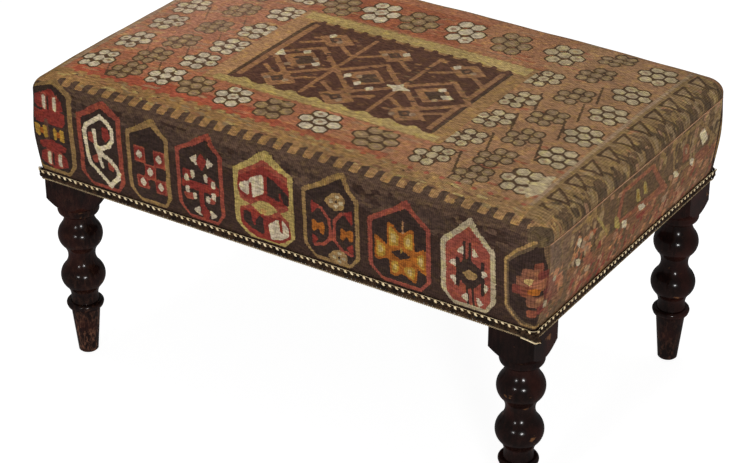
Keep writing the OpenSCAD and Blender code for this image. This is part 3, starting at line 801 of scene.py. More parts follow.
def medallion_of_brackets(pen):
    """Light diamonds above and below, and red brackets that hold a yellow bar on each side"""
    framed(pen, ("fawn", "night"), 7, (46, 36), (49, 33), (18, 0))
    for y, eye in ((42, "bone"), (134, "oat")):
        pen.shape("khaki", (-8, y + 3), (4, y - 10), (18, y - 15), (27, y - 6), (25, y + 9), (12, y + 16),
                  (0, y + 11))
        for x, drop in ((4, 2), (14, -7), (20, 1), (12, 8)):
            pen.diamond(eye, x, y + drop, 5, 4)
        pen.diamond("night", 12, y + 1, 3, 4)
    for s, x in ((1, -31), (-1, 38)):
        pen.stroke("coral", 5, (x + s * 4, 56), (x + s * 18, 60), (x + s * 30, 75), (x + s * 31, 106),
                   (x + s * 20, 118), (x + s * 4, 124))
        pen.shape("red", (x, 50), (x + s * 14, 58), (x, 76))
        pen.shape("red", (x, 104), (x + s * 12, 112), (x, 126))
        pen.box("orange", x, 82, x + s * 8, 101)
        pen.box("orange", x + s * 14, 84, x + s * 21, 102)
        pen.box("orange", x + s * 7, 87, x + s * 15, 95)


def medallion_of_star(pen):
    """A yellow stepped star with side arms, light spots and a dark middle"""
    framed(pen, ("salmon", "night"), 7.5, (53, 50), (49, 42), (9, 10))
    pen.shape("orange", (-21, 48), (-11, 50), (-4, 60), (6, 60), (14, 52), (22, 50), (23, 88), (-21, 90))
    pen.shape("orange", (-42, 72), (-32, 78), (-22, 86), (-20, 104), (-32, 112), (-42, 112))
    pen.shape("orange", (24, 84), (36, 76), (40, 76), (42, 116), (34, 114), (24, 104))
    pen.shape("orange", (-18, 104), (-18, 133), (-8, 134), (0, 126), (10, 130), (24, 138), (28, 112),
              (22, 102))
    pen.shape("orange", (-24, 86), (26, 84), (26, 106), (-22, 108))
    pen.shape("yellow", (-18, 54), (-12, 56), (-2, 66), (-3, 82), (-18, 86))
    pen.shape("yellow", (6, 66), (14, 58), (20, 56), (20, 84), (7, 82))
    pen.shape("straw", (-15, 64), (-7, 66), (-7, 78), (-15, 80))
    pen.shape("straw", (9, 68), (16, 64), (16, 78), (9, 78))
    pen.shape("yellow", (-39, 80), (-25, 90), (-24, 104), (-34, 109), (-39, 108))
    pen.shape("yellow", (27, 90), (37, 82), (39, 110), (28, 103))
    pen.shape("straw", (-36, 88), (-28, 93), (-29, 101), (-36, 102))
    pen.shape("straw", (29, 92), (35, 88), (36, 104), (30, 101))
    pen.shape("yellow", (-15, 108), (-4, 107), (-3, 121), (-9, 129), (-15, 128))
    pen.shape("yellow", (4, 114), (19, 109), (24, 112), (21, 132), (8, 126))
    pen.shape("straw", (-12, 112), (-6, 112), (-7, 122), (-12, 123))
    pen.shape("straw", (10, 116), (18, 114), (18, 126), (11, 122))
    pen.shape("night", (-16, 95), (0, 87), (18, 95), (0, 103))
    pen.stroke("tan", 3, (4, 42), (4, 60))
    pen.stroke("yellow", 3, (1, 85), (1, 92))


def medallion_of_stripes(pen):
    """A red ground with dark upright lines, light triangles along them and an olive middle"""
    framed(pen, ("oat", "salmon"), 8, (43, 48), (43, 45), (2, 6))
    for x in (-6, 3):
        pen.box("night", x - 2, 40, x + 2.5, 78)
        pen.box("night", x + 3, 110, x + 6.5, 142)
    pen.shape("night", (-12, 76), (0, 66), (18, 76), (24, 92), (14, 108), (2, 114), (-10, 106), (-16, 92))
    pen.box("night", -19, 68, -13, 116)
    pen.box("night", 20, 66, 26, 120)
    pen.shape("khaki", (-9, 91), (2, 83), (16, 89), (12, 97), (0, 100))
    for points in (((-19, 60), (-6, 47), (-6, 62)), ((7, 45), (7, 63), (18, 58)),
                   ((-31, 80), (-20, 72), (-20, 86)), ((22, 77), (33, 83), (22, 92)),
                   ((-29, 102), (-20, 98), (-18, 116)), ((25, 99), (33, 103), (26, 116)),
                   ((-13, 132), (-1, 121), (-1, 138)), ((13, 121), (24, 135), (14, 142))):
        pen.shape("white", *points)


# Square cells of the corner's flower: place across and down, half width and colour
FLOWER_CELLS = ((2, 52, 6, "brick"), (-6, 64, 9, "petal"), (8, 66, 7, "wine"), (-16, 76, 8, "petal"),
                (2, 80, 9, "blush"), (18, 82, 8, "brick"), (-24, 90, 7, "wine"), (-10, 92, 8, "brick"),
                (30, 94, 8, "petal"), (14, 98, 8, "wine"), (44, 92, 7, "russet"), (0, 106, 9, "petal"),
                (24, 110, 9, "brick"), (40, 108, 7, "petal"), (10, 120, 8, "wine"), (-4, 126, 6, "brick"),
                (22, 130, 6, "petal"), (-2, 90, 5, "orange"), (-8, 74, 4, "straw"), (4, 104, 4, "tan"),
                (16, 116, 5, "oat"), (34, 84, 4, "oat"), (52, 122, 7, "rose"), (54, 102, 6, "clay"))


def medallion_of_flower(pen):
    """A worn salmon flower on a dark ground, on the corner of the seat; its far side is faded away"""
    pen.shape("umber", (4, 16), (70, 0), (70, 152), (4, 152))
    scatter(pen, ("rose", "bark", "clay", "dusky", "umber"), 120, (20, 66), (60, 138), (8, 12), -0.3)
    pen.shape("dusky", (-43, 46), (-6, 12), (4, 13), (5, 22), (-2, 23), (-35, 51), (-35, 118), (-17, 140),
              (12, 145), (16, 152), (-22, 152), (-43, 124))
    pen.shape("night", (-36, 51), (-2, 21), (8, 22), (12, 58), (4, 147), (-18, 140), (-36, 118))
    pen.stroke("khaki", 4, (4, 15), (-7, 16), (-41, 48), (-41, 120), (-21, 147), (10, 149))
    for x, y, half, colour in FLOWER_CELLS:
        pen.box(colour, x - half, y - half, x + half, y + half)
    pen.shape("dusky", (16, 26), (40, 20), (50, 62), (28, 70))


# Each medallion's place along the front, from the middle
FLOWER_PLACE = 430
MEDALLIONS = ((-396, medallion_of_bars), (-299, medallion_of_loops), (-209, medallion_of_squares),
              (-117, medallion_of_cross), (-5, medallion_of_quarters), (107, medallion_of_brackets),
              (223, medallion_of_star), (330, medallion_of_stripes), (FLOWER_PLACE, medallion_of_flower))


def long_face(canvas, facing):
    """The medallions of the front or back face; the back's run the other way"""
    for place, draw in MEDALLIONS:
        draw(Pen(canvas, (-facing * place * MM, facing * HALF_W), (-facing, facing)))


def paint_main():
    """The cloth of the top, the long faces and the corners, as it would lie flat"""
    canvas = Canvas(HALF_L + SEAM_DROP + 4 * MM, HALF_W + SIDE_H, "ground")
    top = Pen(canvas)
    top.box("russet", -215, 130, 190, 236)
    top.box("clay", 60, -240, 400, 290)
    top.box("sand", 208, -240, 400, 290)
    top.shape("flame", (-400, -240), (-392, -214), (-250, -204), (-60, -206), (-20, -220), (-20, -240))
    top.box("russet", -20, -238, 160, -220)
    scatter(top, ("dusty", "clay", "russet", "ground"), 420, (-420, -236), (380, 240), (24, 6), 0.7)
    scatter(top, ("dusty", "biscuit"), 90, (-440, -180), (-210, 240), (26, 9), 0.7)
    field_lines(top)
    left_rosettes(top)
    right_rosettes(top)
    row_rosettes(top)
    top.shape("bone", (374, -156), (386, -146), (391, -196), (378, -220), (366, -200))
    medallion(top)
    short_border(top)
    short_border(Pen(canvas, (-22 * MM, 0), (-1, 1)))
    back_border(top)
    long_border(Pen(canvas, (0, 0), (1, -1)))
    short_corner(top)
    for facing in (-1, 1):
        long_face(canvas, facing)
    return canvas


def short_corner(pen):
    """The hooked band runs on over the beige one at the right, as far as the dark face"""
    pen.box("khaki", 398, -258, 424, -228)
    pen.shape("dusky", (414, -268), (438, -252), (472, -262), (472, -304), (418, -300))


# How much the worn patches vary in size, and how far their ends are aslant
PATCH_SIZES = (0.5, 1.5)
PATCH_SLANT = 0.2


def scatter(pen, colours, count, low, high, size, lean):
    """Small slanting patches of worn colour, spread evenly over a rectangle"""
    spread = np.random.default_rng(count)
    for k in range(count):
        x, y = spread.uniform(low, high)
        wide, tall = spread.uniform(*PATCH_SIZES, 2) * size
        slip = lean * tall
        pen.shape(colours[k % len(colours)], (x, y), (x + wide, y + PATCH_SLANT * tall),
                  (x + wide + slip, y + tall), (x + slip, y + (1 - PATCH_SLANT) * tall))


def paint_panel():
    canvas = Canvas(HALF_W, SIDE_H, "umber")
    pen = Pen(canvas, (0, 0), (1, -1))
    scatter(pen, ("bark", "khaki", "dusty", "dusky", "olive"), 210, (-275, 16), (270, 84), (9, 15), -0.25)
    pen.box("rose", -280, 90, 280, 170)
    scatter(pen, ("umber", "dusty", "blush", "bark", "clay", "salmon"), 330, (-280, 82), (270, 146),
            (8, 14), -0.3)
    side_flower(pen)
    side_middle(pen)
    side_back(pen)
    medallion_of_flower(Pen(canvas, (FLOWER_PLACE * MM - HALF_L - HALF_W, 0), (1, -1)))
    return canvas


# The side panels: millimetres along the panel from its middle, and down from the seat's edge


def side_flower(pen):
    """The medallion nearest the front, with a pale flower"""
    pen.stroke("beige", 4, (-218, 32), (-214, 88))
    pen.stroke("khaki", 5, (-218, 34), (-140, 34), (-96, 82), (-226, 82))
    pen.stroke("moss", 4, (-130, 44), (-98, 80))
    pen.shape("outline", (-200, 62), (-184, 41), (-167, 54), (-147, 49), (-129, 68), (-133, 88),
              (-160, 100), (-190, 92))
    pen.shape("clay", (-195, 62), (-184, 46), (-168, 59), (-148, 54), (-134, 68), (-138, 84), (-160, 95),
              (-186, 87))
    scatter(pen, ("umber", "russet", "clay", "dusky", "faded"), 44, (-196, 48), (-140, 86), (7, 11), -0.3)
    pen.shape("cream", (-184, 50), (-174, 56), (-178, 68), (-188, 60))
    pen.shape("faded", (-170, 60), (-160, 66), (-164, 78), (-174, 70))
    pen.shape("cream", (-186, 84), (-172, 88), (-174, 98), (-184, 94))
    pen.diamond("cream", -237, 88, 7, 11)
    pen.shape("blush", (-166, 92), (-144, 90), (-130, 112), (-156, 110))
    pen.shape("faded", (-154, 108), (-138, 114), (-142, 124), (-156, 118))
    pen.shape("coral", (-278, 84), (-240, 92), (-224, 112), (-262, 106))
    pen.shape("coral", (-278, 118), (-236, 124), (-212, 146), (-256, 142))


def side_middle(pen):
    """The middle medallion: a pink outline and two yellow leaves on a dark ground"""
    pen.shape("blush", (-56, 34), (38, 34), (94, 98), (76, 98), (-74, 84))
    pen.shape("bark", (-49, 42), (34, 42), (66, 82), (-60, 80))
    pen.shape("moss", (-14, 50), (-4, 56), (6, 78), (-8, 76))
    pen.shape("yellow", (-10, 56), (-5, 60), (1, 74), (-6, 72))
    pen.shape("moss", (8, 48), (20, 56), (28, 78), (14, 72))
    pen.shape("yellow", (13, 54), (18, 60), (22, 72), (16, 68))
    pen.shape("cream", (-54, 84), (-40, 90), (-34, 104), (-50, 98))
    pen.shape("cream", (-6, 82), (12, 86), (22, 96), (4, 96))
    pen.shape("blush", (-14, 94), (34, 98), (58, 116), (18, 112))
    pen.shape("coral", (-8, 99), (20, 102), (28, 110), (0, 108))
    pen.shape("faded", (78, 108), (96, 110), (94, 122), (80, 118))
    pen.shape("moss", (-76, 66), (-64, 74), (-58, 96), (-76, 84))


def side_back(pen):
    """The medallion nearest the back"""
    pen.stroke("khaki", 6, (104, 32), (190, 32), (254, 86), (112, 86), (104, 32))
    pen.shape("blush", (136, 48), (154, 52), (164, 78), (140, 78))
    pen.shape("faded", (142, 54), (150, 58), (154, 68), (146, 66))
    pen.shape("cream", (190, 52), (208, 50), (226, 74), (208, 78))
    pen.shape("cream", (106, 78), (120, 82), (130, 94), (112, 90))
    pen.shape("blush", (178, 84), (224, 82), (238, 100), (206, 104))
    pen.shape("cream", (164, 82), (178, 86), (176, 98), (166, 92))
    pen.shape("blush", (240, 92), (264, 100), (258, 116), (238, 110))
    pen.stroke("beige", 4, (-275, 52), (-262, 36), (-248, 30))


# From the drawing to the mesh


def window(count):
    """Sample points in a square of that many steps a side, about its middle"""
    reach = (np.arange(count) - (count - 1) / 2) * SAMPLE_STEP
    return np.stack(np.meshgrid(reach, reach), -1).reshape(-1, 2)


def two_colours(canvas, centres, corners):
    """The two commonest colours of each face, and how much of the second each of its corners has"""
    ids = canvas.at(centres[:, None, :] + window(FACE_SAMPLES)[None])
    counts = np.stack([(ids == k).sum(1) for k in range(len(NAMES))], 1)
    order = np.argsort(-counts, axis=1, kind="stable")
    first, second = order[:, 0], order[:, 1]
    second = np.where(np.take_along_axis(counts, second[:, None], 1)[:, 0] == 0, first, second)
    a, b = np.minimum(first, second), np.maximum(first, second)
    ids = canvas.at(corners[:, :, None, :] + window(CORNER_SAMPLES)[None, None])
    in_a = (ids == a[:, None, None]).sum(2)
    in_b = (ids == b[:, None, None]).sum(2)
    share = np.where(in_a + in_b > 0, in_b / np.maximum(in_a + in_b, 1), 0.5)
    return a, b, np.where((a == b)[:, None], 0.0, share)


def growing(place, start, reach):
    """Nothing up to the start, all of it from the reach on, and smooth between"""
    return smooth((place - start) / reach)


def fade(colours, uv):
    """Colours worn by place: reddest at the front left of the top, dusty at the right and back"""
    u, v = uv.T
    on_top = growing(np.abs(v) - HALF_W, *TOP_ONLY)
    dusty = growing(u, *DUST_RIGHT) * DUST_RIGHT_SHARE + growing(v, *DUST_BACK) * DUST_BACK_SHARE
    grey = colours.mean(1, keepdims=True) * DUST_TINT
    share = (dusty * on_top)[:, None]
    colours = colours * (1 - share) + grey * share
    share = (PALE_SHARE * growing(u, *PALE_LEFT) * growing(v, *PALE_BACK) * on_top)[:, None]
    return colours * (1 - share) + linear(PALE) * share


def paint_mesh(piece, canvas):
    """Stores the canvas on the piece's corners, by where they lie on the flat cloth"""
    corners = net_of(piece.data)
    centres = corners.mean(1)
    a, b, share = two_colours(canvas, centres, corners)
    table = np.array([linear(colour) for colour in PALETTE.values()])
    for name, ids in (("paint_a", a), ("paint_b", b)):
        colours = fade(table[ids], centres)
        values = np.concatenate([colours, np.ones((len(ids), 1))], 1)
        layer = piece.data.attributes.new(name, "FLOAT_COLOR", "CORNER")
        layer.data.foreach_set("color", np.repeat(values, 4, 0).ravel())
    layer = piece.data.attributes.new("paint_share", "FLOAT", "CORNER")
    layer.data.foreach_set("value", share.ravel())


# Materials


class Shader:
    """A material with a principled shader, and short calls to build what feeds it"""

    def __init__(self, name, **sockets):
        self.material = bpy.data.materials.new(name)
        self.material.use_nodes = True
        self.tree = self.material.node_tree
        self.shader = self.tree.nodes["Principled BSDF"]
        self.set(**sockets)

    def set(self, **sockets):
        """Feeds the principled shader's sockets, named with underscores"""
        for key, value in sockets.items():
            self.feed(self.shader.inputs[key.replace("_", " ")], value)

    def node(self, kind, inputs=None, out=0, **values):
        made = self.tree.nodes.new(kind)
        for key, value in values.items():
            setattr(made, key, value)
        for key, value in (inputs or {}).items():
            self.feed(made.inputs[key], value)
        return made.outputs[out]

    def feed(self, socket, value):
        if isinstance(value, bpy.types.NodeSocket):
            self.tree.links.new(value, socket)
        else:
            socket.default_value = value

    def math(self, operation, a, b=0.0):
        return self.node("ShaderNodeMath", {0: a, 1: b}, operation=operation)

    def stretch(self, vector, factors):
        return self.node("ShaderNodeVectorMath", {0: vector, 1: factors}, operation="MULTIPLY")

    def split(self, vector):
        """The vector's three parts"""
        made = self.tree.nodes.new("ShaderNodeSeparateXYZ")
        self.feed(made.inputs[0], vector)
        return list(made.outputs)

    def noise(self, vector, scale, detail=2.0, roughness=0.5):
        inputs = {"Vector": vector, "Scale": scale, "Detail": detail, "Roughness": roughness}
        return self.node("ShaderNodeTexNoise", inputs)

    def ramp(self, value, low, high, to_low=0.0, to_high=1.0):
        inputs = {0: value, 1: low, 2: high, 3: to_low, 4: to_high}
        return self.node("ShaderNodeMapRange", inputs, interpolation_type="SMOOTHSTEP")

    def mix(self, share, a, b, blend="MIX"):
        made = self.tree.nodes.new("ShaderNodeMix")
        made.data_type = "RGBA"
        made.blend_type = blend
        for number, value in ((0, share), (6, a), (7, b)):
            self.feed(made.inputs[number], value)
        return made.outputs[2]

    def two_tones(self, value, low, high, colour, other):
        """One colour below the low value and the other above the high one"""
        return self.mix(self.ramp(value, low, high), rgba(colour), rgba(other))

    def toned(self, colour, value, low, high, dark, light):
        """The colour times a grey that goes from dark to light between the low and high value"""
        grey = self.ramp(value, low, high, dark, light)
        grey = self.node("ShaderNodeCombineColor", {0: grey, 1: grey, 2: grey})
        return self.mix(1.0, colour, grey, "MULTIPLY")

    def patched(self, colour, value, low, high, factors):
        """The colour, times the three factors where the value is high"""
        changed = self.mix(1.0, colour, (*factors, 1.0), "MULTIPLY")
        return self.mix(self.ramp(value, low, high), colour, changed)

    def wave(self, value):
        """Round ridges, one to each whole number of the value"""
        return self.math("ABSOLUTE", self.math("SINE", self.math("MULTIPLY", value, math.pi)))

    def place(self):
        """Places on the object, in metres"""
        return self.node("ShaderNodeTexCoord", out=3)

    def finish(self, colour, height, distance, strength):
        """Feeds the colour and the relief to the shader, and gives the material"""
        inputs = {"Height": height, "Distance": distance, "Strength": strength}
        self.set(Base_Color=colour, Normal=self.node("ShaderNodeBump", inputs))
        return self.material


def kilim_material():
    """Flat weave: two colours meet along a stepped edge, over ribs of wool, with painted shade in the
    grooves between the ribs
    """
    s = Shader("kilim", Roughness=0.95, Specular_IOR_Level=0.15)
    net = s.node("ShaderNodeUVMap", uv_map="net")
    along, across, _ = s.split(net)
    rib = s.math("DIVIDE", along, RIB_PITCH)
    weft = s.math("DIVIDE", across, WEFT_PITCH)
    rib_wave = s.wave(rib)
    weft_wave = s.wave(s.math("ADD", weft, s.math("MULTIPLY", s.math("FLOOR", rib), 0.5)))

    cell = s.node("ShaderNodeCombineXYZ", {0: s.math("FLOOR", rib), 1: s.math("FLOOR", weft)})
    jitter = s.math("MULTIPLY", s.math("SUBTRACT", s.noise(cell, 0.9), 0.5), 0.9)
    share = s.math("ADD", s.node("ShaderNodeAttribute", out=2, attribute_name="paint_share"), jitter)
    paints = [s.node("ShaderNodeAttribute", attribute_name=name) for name in ("paint_a", "paint_b")]
    colour = s.mix(s.ramp(share, 0.44, 0.56), *paints)

    streaks = s.noise(s.stretch(net, (4.0, 140.0, 0.0)), 1.0, 3.0)
    colour = s.toned(colour, streaks, 0.3, 0.7, 0.9, 1.1)
    colour = s.patched(colour, s.noise(net, 75.0, 4.0, 0.7), 0.46, 0.68, (1.25, 1.3, 0.95))
    colour = s.patched(colour, s.noise(net, 110.0, 3.0, 0.7), 0.56, 0.68, (0.78, 0.7, 0.68))
    dashes = s.noise(s.stretch(net, (120.0, 300.0, 0.0)), 1.0, 2.0, 0.6)
    colour = s.toned(colour, dashes, 0.32, 0.68, 0.68, 1.3)
    colour = s.toned(colour, s.noise(net, 14.0, 4.0, 0.6), 0.3, 0.7, 0.88, 1.12)
    speck = s.noise(net, 900.0, 2.0, 0.7)
    colour = s.toned(colour, speck, 0.3, 0.7, 0.78, 1.2)
    # Painted shade: the colour is darker in the grooves between the ribs and lighter on their crests
    colour = s.toned(colour, rib_wave, 0.0, 0.6, 0.62, 1.06)
    height = s.math("MULTIPLY", rib_wave, s.math("ADD", 0.7, s.math("MULTIPLY", weft_wave, 0.3)))
    height = s.math("ADD", height, s.math("MULTIPLY", speck, 0.35))
    return s.finish(colour, height, 0.5 * MM, 0.8)


def wool_material(name, colour, other):
    """Twisted yarn of two near tones"""
    s = Shader(name, Roughness=0.9, Specular_IOR_Level=0.15)
    place = s.place()
    mixed = s.two_tones(s.noise(place, 84.0, 3.0), 0.35, 0.65, colour, other)
    fibre = s.noise(place, 700.0, 2.0, 0.7)
    return s.finish(s.toned(mixed, fibre, 0.3, 0.7, 0.7, 1.2), fibre, 0.3 * MM, 0.8)


def dark_wood_material():
    """Polished near-black hardwood: fine upright grain, red where the stain is thin, worn feet"""
    s = Shader("dark_hardwood", Specular_IOR_Level=0.0, Coat_Weight=0.45, Coat_Roughness=0.17)
    place = s.place()
    along, _, up = s.split(place)
    grain = s.noise(s.stretch(place, (1.0, 1.0, 0.12)), 220.0, 5.0, 0.65)
    cloud = s.noise(place, 16.0, 3.0)
    colour = s.two_tones(grain, 0.3, 0.75, (12, 6, 5), (26, 13, 11))
    colour = s.mix(s.ramp(cloud, 0.42, 0.7, 0.0, 0.6), colour, rgba((52, 22, 16)))
    bare = s.noise(s.stretch(place, (1.0, 1.0, 1.6)), 32.0, 3.0, 0.6)
    colour = s.mix(s.ramp(bare, 0.66, 0.74, 0.0, 0.6), colour, rgba((126, 84, 50)))
    low = s.ramp(up, 20 * MM, 110 * MM, 1.0, 0.12)
    low = s.math("MULTIPLY", low, s.ramp(along, -HALF_L, HALF_L, 1.0, 0.25))
    scuff = s.noise(s.stretch(place, (1.0, 1.0, 0.5)), 150.0, 6.0, 0.75)
    worn = s.math("MULTIPLY", low, s.ramp(scuff, 0.46, 0.66, 0.0, 0.75))
    colour = s.mix(worn, colour, rgba((116, 76, 56)))
    s.set(Roughness=s.ramp(cloud, 0.3, 0.7, 0.2, 0.36))
    return s.finish(colour, grain, 0.12 * MM, 0.6)


def raw_wood_material(name, colour, dark):
    """Sawn frame timber with a plain lengthwise grain"""
    s = Shader(name, Roughness=0.7)
    grain = s.noise(s.stretch(s.place(), (0.3, 1.0, 1.0)), 140.0, 6.0, 0.7)
    return s.finish(s.two_tones(grain, 0.35, 0.7, colour, dark), grain, 0.2 * MM, 0.7)


def steel_material(name, colour, dark):
    s = Shader(name, Metallic=0.9, Roughness=0.4)
    spots = s.noise(s.place(), 800.0, 3.0)
    return s.finish(s.two_tones(spots, 0.4, 0.7, colour, dark), spots, 0.05 * MM, 0.5)


def cloth_material(name, colour, other, pitch):
    """Plain weave seen from near, with painted shade where the weave's relief is low"""
    s = Shader(name, Roughness=0.95)
    place = s.place()
    waves = [s.math("SINE", s.math("MULTIPLY", part, TAU / pitch)) for part in s.split(place)]
    weave = s.math("ADD", s.math("MULTIPLY", waves[0], waves[1]), s.math("MULTIPLY", waves[2], 0.3))
    mixed = s.two_tones(s.noise(place, 40.0, 3.0), 0.35, 0.65, colour, other)
    # Painted shade: the colour is darker where the weave's relief is low and lighter on its crowns
    return s.finish(s.toned(mixed, weave, -1.0, 1.0, 0.8, 1.08), weave, 0.2 * MM, 0.6)


def foam_material(name, colour, other):
    s = Shader(name, Roughness=1.0)
    cells = s.noise(s.place(), 500.0, 3.0, 0.8)
    return s.finish(s.two_tones(cells, 0.35, 0.65, colour, other), cells, 0.5 * MM, 1.0)


MATERIALS = {
    "kilim": kilim_material(),
    "leg_wood": dark_wood_material(),
    "frame_wood": raw_wood_material("frame_timber", (196, 158, 112), (150, 108, 70)),
    "dowel_wood": raw_wood_material("dowel_beech", (214, 180, 134), (184, 146, 100)),
    "screw_steel": steel_material("screw_steel", (176, 176, 174), (105, 105, 104)),
    "tack_steel": steel_material("tack_steel", (74, 72, 76), (44, 43, 45)),
    "webbing": cloth_material("jute_webbing", (176, 148, 104), (150, 120, 80), 2.4 * MM),
    "hessian": cloth_material("hessian", (170, 140, 96), (146, 116, 76), 2.0 * MM),
    "foam": foam_material("foam", (232, 214, 150), (214, 192, 124)),
    "calico": cloth_material("calico", (226, 216, 192), (212, 200, 174), 0.8 * MM),
    "wadding": foam_material("wadding", (240, 238, 230), (222, 220, 212)),
    "seam_thread": wool_material("seam_thread", (186, 146, 112), (168, 124, 94)),
    "gimp": wool_material("gimp_braid", (30, 20, 13), (60, 42, 27)),
    "stitch": wool_material("stitch_thread", (232, 212, 172), (208, 184, 140)),
    "edging": wool_material("edging_cord", (168, 148, 114), (124, 104, 76)),
    "dust_cloth": cloth_material("dust_cloth", (34, 33, 34), (26, 25, 26), 1.2 * MM),
}


def dress(piece, slot, material=None):
    """Gives a new piece its material and its body"""
    piece.data.materials.clear()
    piece.data.materials.append(MATERIALS[material or slot])
    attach(piece, "root")
    return piece


# The seat's cloth; its slow unevenness is made of waves, in radians per metre


def simulate(piece, pinned):
    """Which way each point moves as the cloth swells under pressure; nearly all of them reach the cap"""
    start = coordinates(piece.data)
    group = piece.vertex_groups.new(name=CLOTH_SETTINGS["vertex_group_mass"])
    group.add(np.nonzero(pinned)[0].tolist(), 1.0, "REPLACE")
    modifier = piece.modifiers.new("cloth", "CLOTH")
    for key, value in CLOTH_SETTINGS.items():
        setattr(modifier.settings, key, value)
    modifier.settings.effector_weights.gravity = 0.0
    modifier.collision_settings.use_collision = False
    modifier.point_cache.frame_start = 1
    modifier.point_cache.frame_end = CLOTH_FRAMES
    for number in range(1, CLOTH_FRAMES + 1):
        scene.frame_set(number)
    graph = bpy.context.evaluated_depsgraph_get()
    way = coordinates(piece.evaluated_get(graph).data) - start
    piece.modifiers.clear()
    piece.vertex_groups.clear()
    scene.frame_set(1)
    length = np.linalg.norm(way, axis=1, keepdims=True)
    print("cloth moved at most", round(float(length.max()) / MM, 1), "mm")
    return way * np.minimum(1, CLOTH_CAP / np.maximum(length, TINY))


def net_coordinates(side, corners):
    """Where a face's corners lie on the flat cloth, and whether it is part of a side panel"""
    x, y, z = corners.T
    drop = TOP_Z - z
    if side == "top":
        return np.stack([x, y], 1), False
    if side in ("front", "back"):
        return np.stack([x, np.sign(y) * (HALF_W + drop)], 1), False
    if z.max() > TOP_Z - SEAM_DROP + MM:
        return np.stack([np.sign(x) * (HALF_L + drop), y], 1), False
    if abs(y).max() > PANEL_HALF + MM:
        facing = np.sign(y.mean())
        wrapped = HALF_L + HALF_W - np.abs(y)
        return np.stack([np.sign(x) * wrapped, facing * (HALF_W + drop)], 1), False
    return np.stack([y * np.sign(x), -drop], 1), True


def undulation(points):
    """Slow unevenness of a padded surface"""
    x, y, z = points.T
    wave = np.sin(x * 31 + 1.3) * np.sin(y * 27 + 0.4) + 0.6 * np.sin(x * 67 + y * 23 + 2.1)
    return wave + 0.5 * np.sin(y * 71 - x * 19 + z * 40)


def make_seat():
    """The main cover and the two side panels, cut from one simulated skin"""
    sharp, faces, sides, corners = seat_grid(BASE_Z, hem=HEM)
    places = skin_places(sharp, BASE_Z)
    skin = make_object("skin", places, faces)
    laid = [net_coordinates(side, face) for side, face in zip(sides, corners)]
    set_net(skin.data, np.array([net for net, _ in laid]))
    names = ["cover_cloth", "side_cloth_left", "side_cloth_right"]
    for name in names:
        skin.data.materials.append(bpy.data.materials.new(name))
    part = [names.index("side_cloth_" + side) if panel else 0 for side, (_, panel) in zip(sides, laid)]
    skin.data.polygons.foreach_set("material_index", part)

    moved = np.zeros(places.shape)
    moved = simulate(skin, places[:, 2] < braid_high.z + MM)
    fine = subdivided(skin, sharp, "SIMPLE")
    moved = coordinates(subdivided(skin, moved, "CATMULL_CLARK"))
    places = skin_places(coordinates(fine), BASE_Z)
    out = normals(fine, places)
    inward = np.minimum((moved * out).sum(1), 0)
    places += moved - out * inward[:, None]
    uneven = UNEVEN * smooth((places[:, 2] - FRAME_TOP) / UNEVEN_FROM)
    places += normals(fine, places) * (undulation(places) * uneven)[:, None]
    fine.vertices.foreach_set("co", places.ravel())
    skin.data = fine
    pieces = {name: cut_piece(skin, index, name) for index, name in enumerate(names)}
    bpy.data.objects.remove(skin)
    return pieces


def cut_piece(skin, index, name):
    """The faces of one material of the skin, as a piece of its own"""
    mesh = skin.data
    chosen = read(mesh.polygons, "material_index", 1, int).ravel() == index
    used, faces = np.unique(corner_points(mesh)[chosen], return_inverse=True)
    piece = make_object(name, coordinates(mesh)[used], faces.reshape(-1, 4))
    set_net(piece.data, net_of(mesh)[chosen])
    return piece


# The trim: braid, stitches, cord and seams


def sweep(points, out, up, section, closed=True):
    """A tube along the points: section holds its outline in the out and up directions"""
    n, m = len(points), len(section)
    verts = points[:, None] + out[:, None] * section[:, :1] + up[:, None] * section[:, 1:]
    ring = np.arange(n + closed)[None, :] % n
    side = np.arange(m + 1)[:, None] % m
    faces = grid_faces(ring * m + side).tolist()
    if not closed:
        faces += [list(range(m)), list(range((n - 1) * m, n * m))[::-1]]
    return verts.reshape(-1, 3), faces


def oval(half_out, half_up, sides):
    angle = np.arange(sides) * TAU / sides
    return np.stack([half_out * np.cos(angle), half_up * np.sin(angle)], 1)


def join_parts(parts):
    """Several sets of points and faces as one"""
    verts, faces, start = [], [], 0
    for points, quads in parts:
        verts.append(points)
        faces += [[i + start for i in f] for f in quads]
        start += len(points)
    return np.concatenate(verts), faces


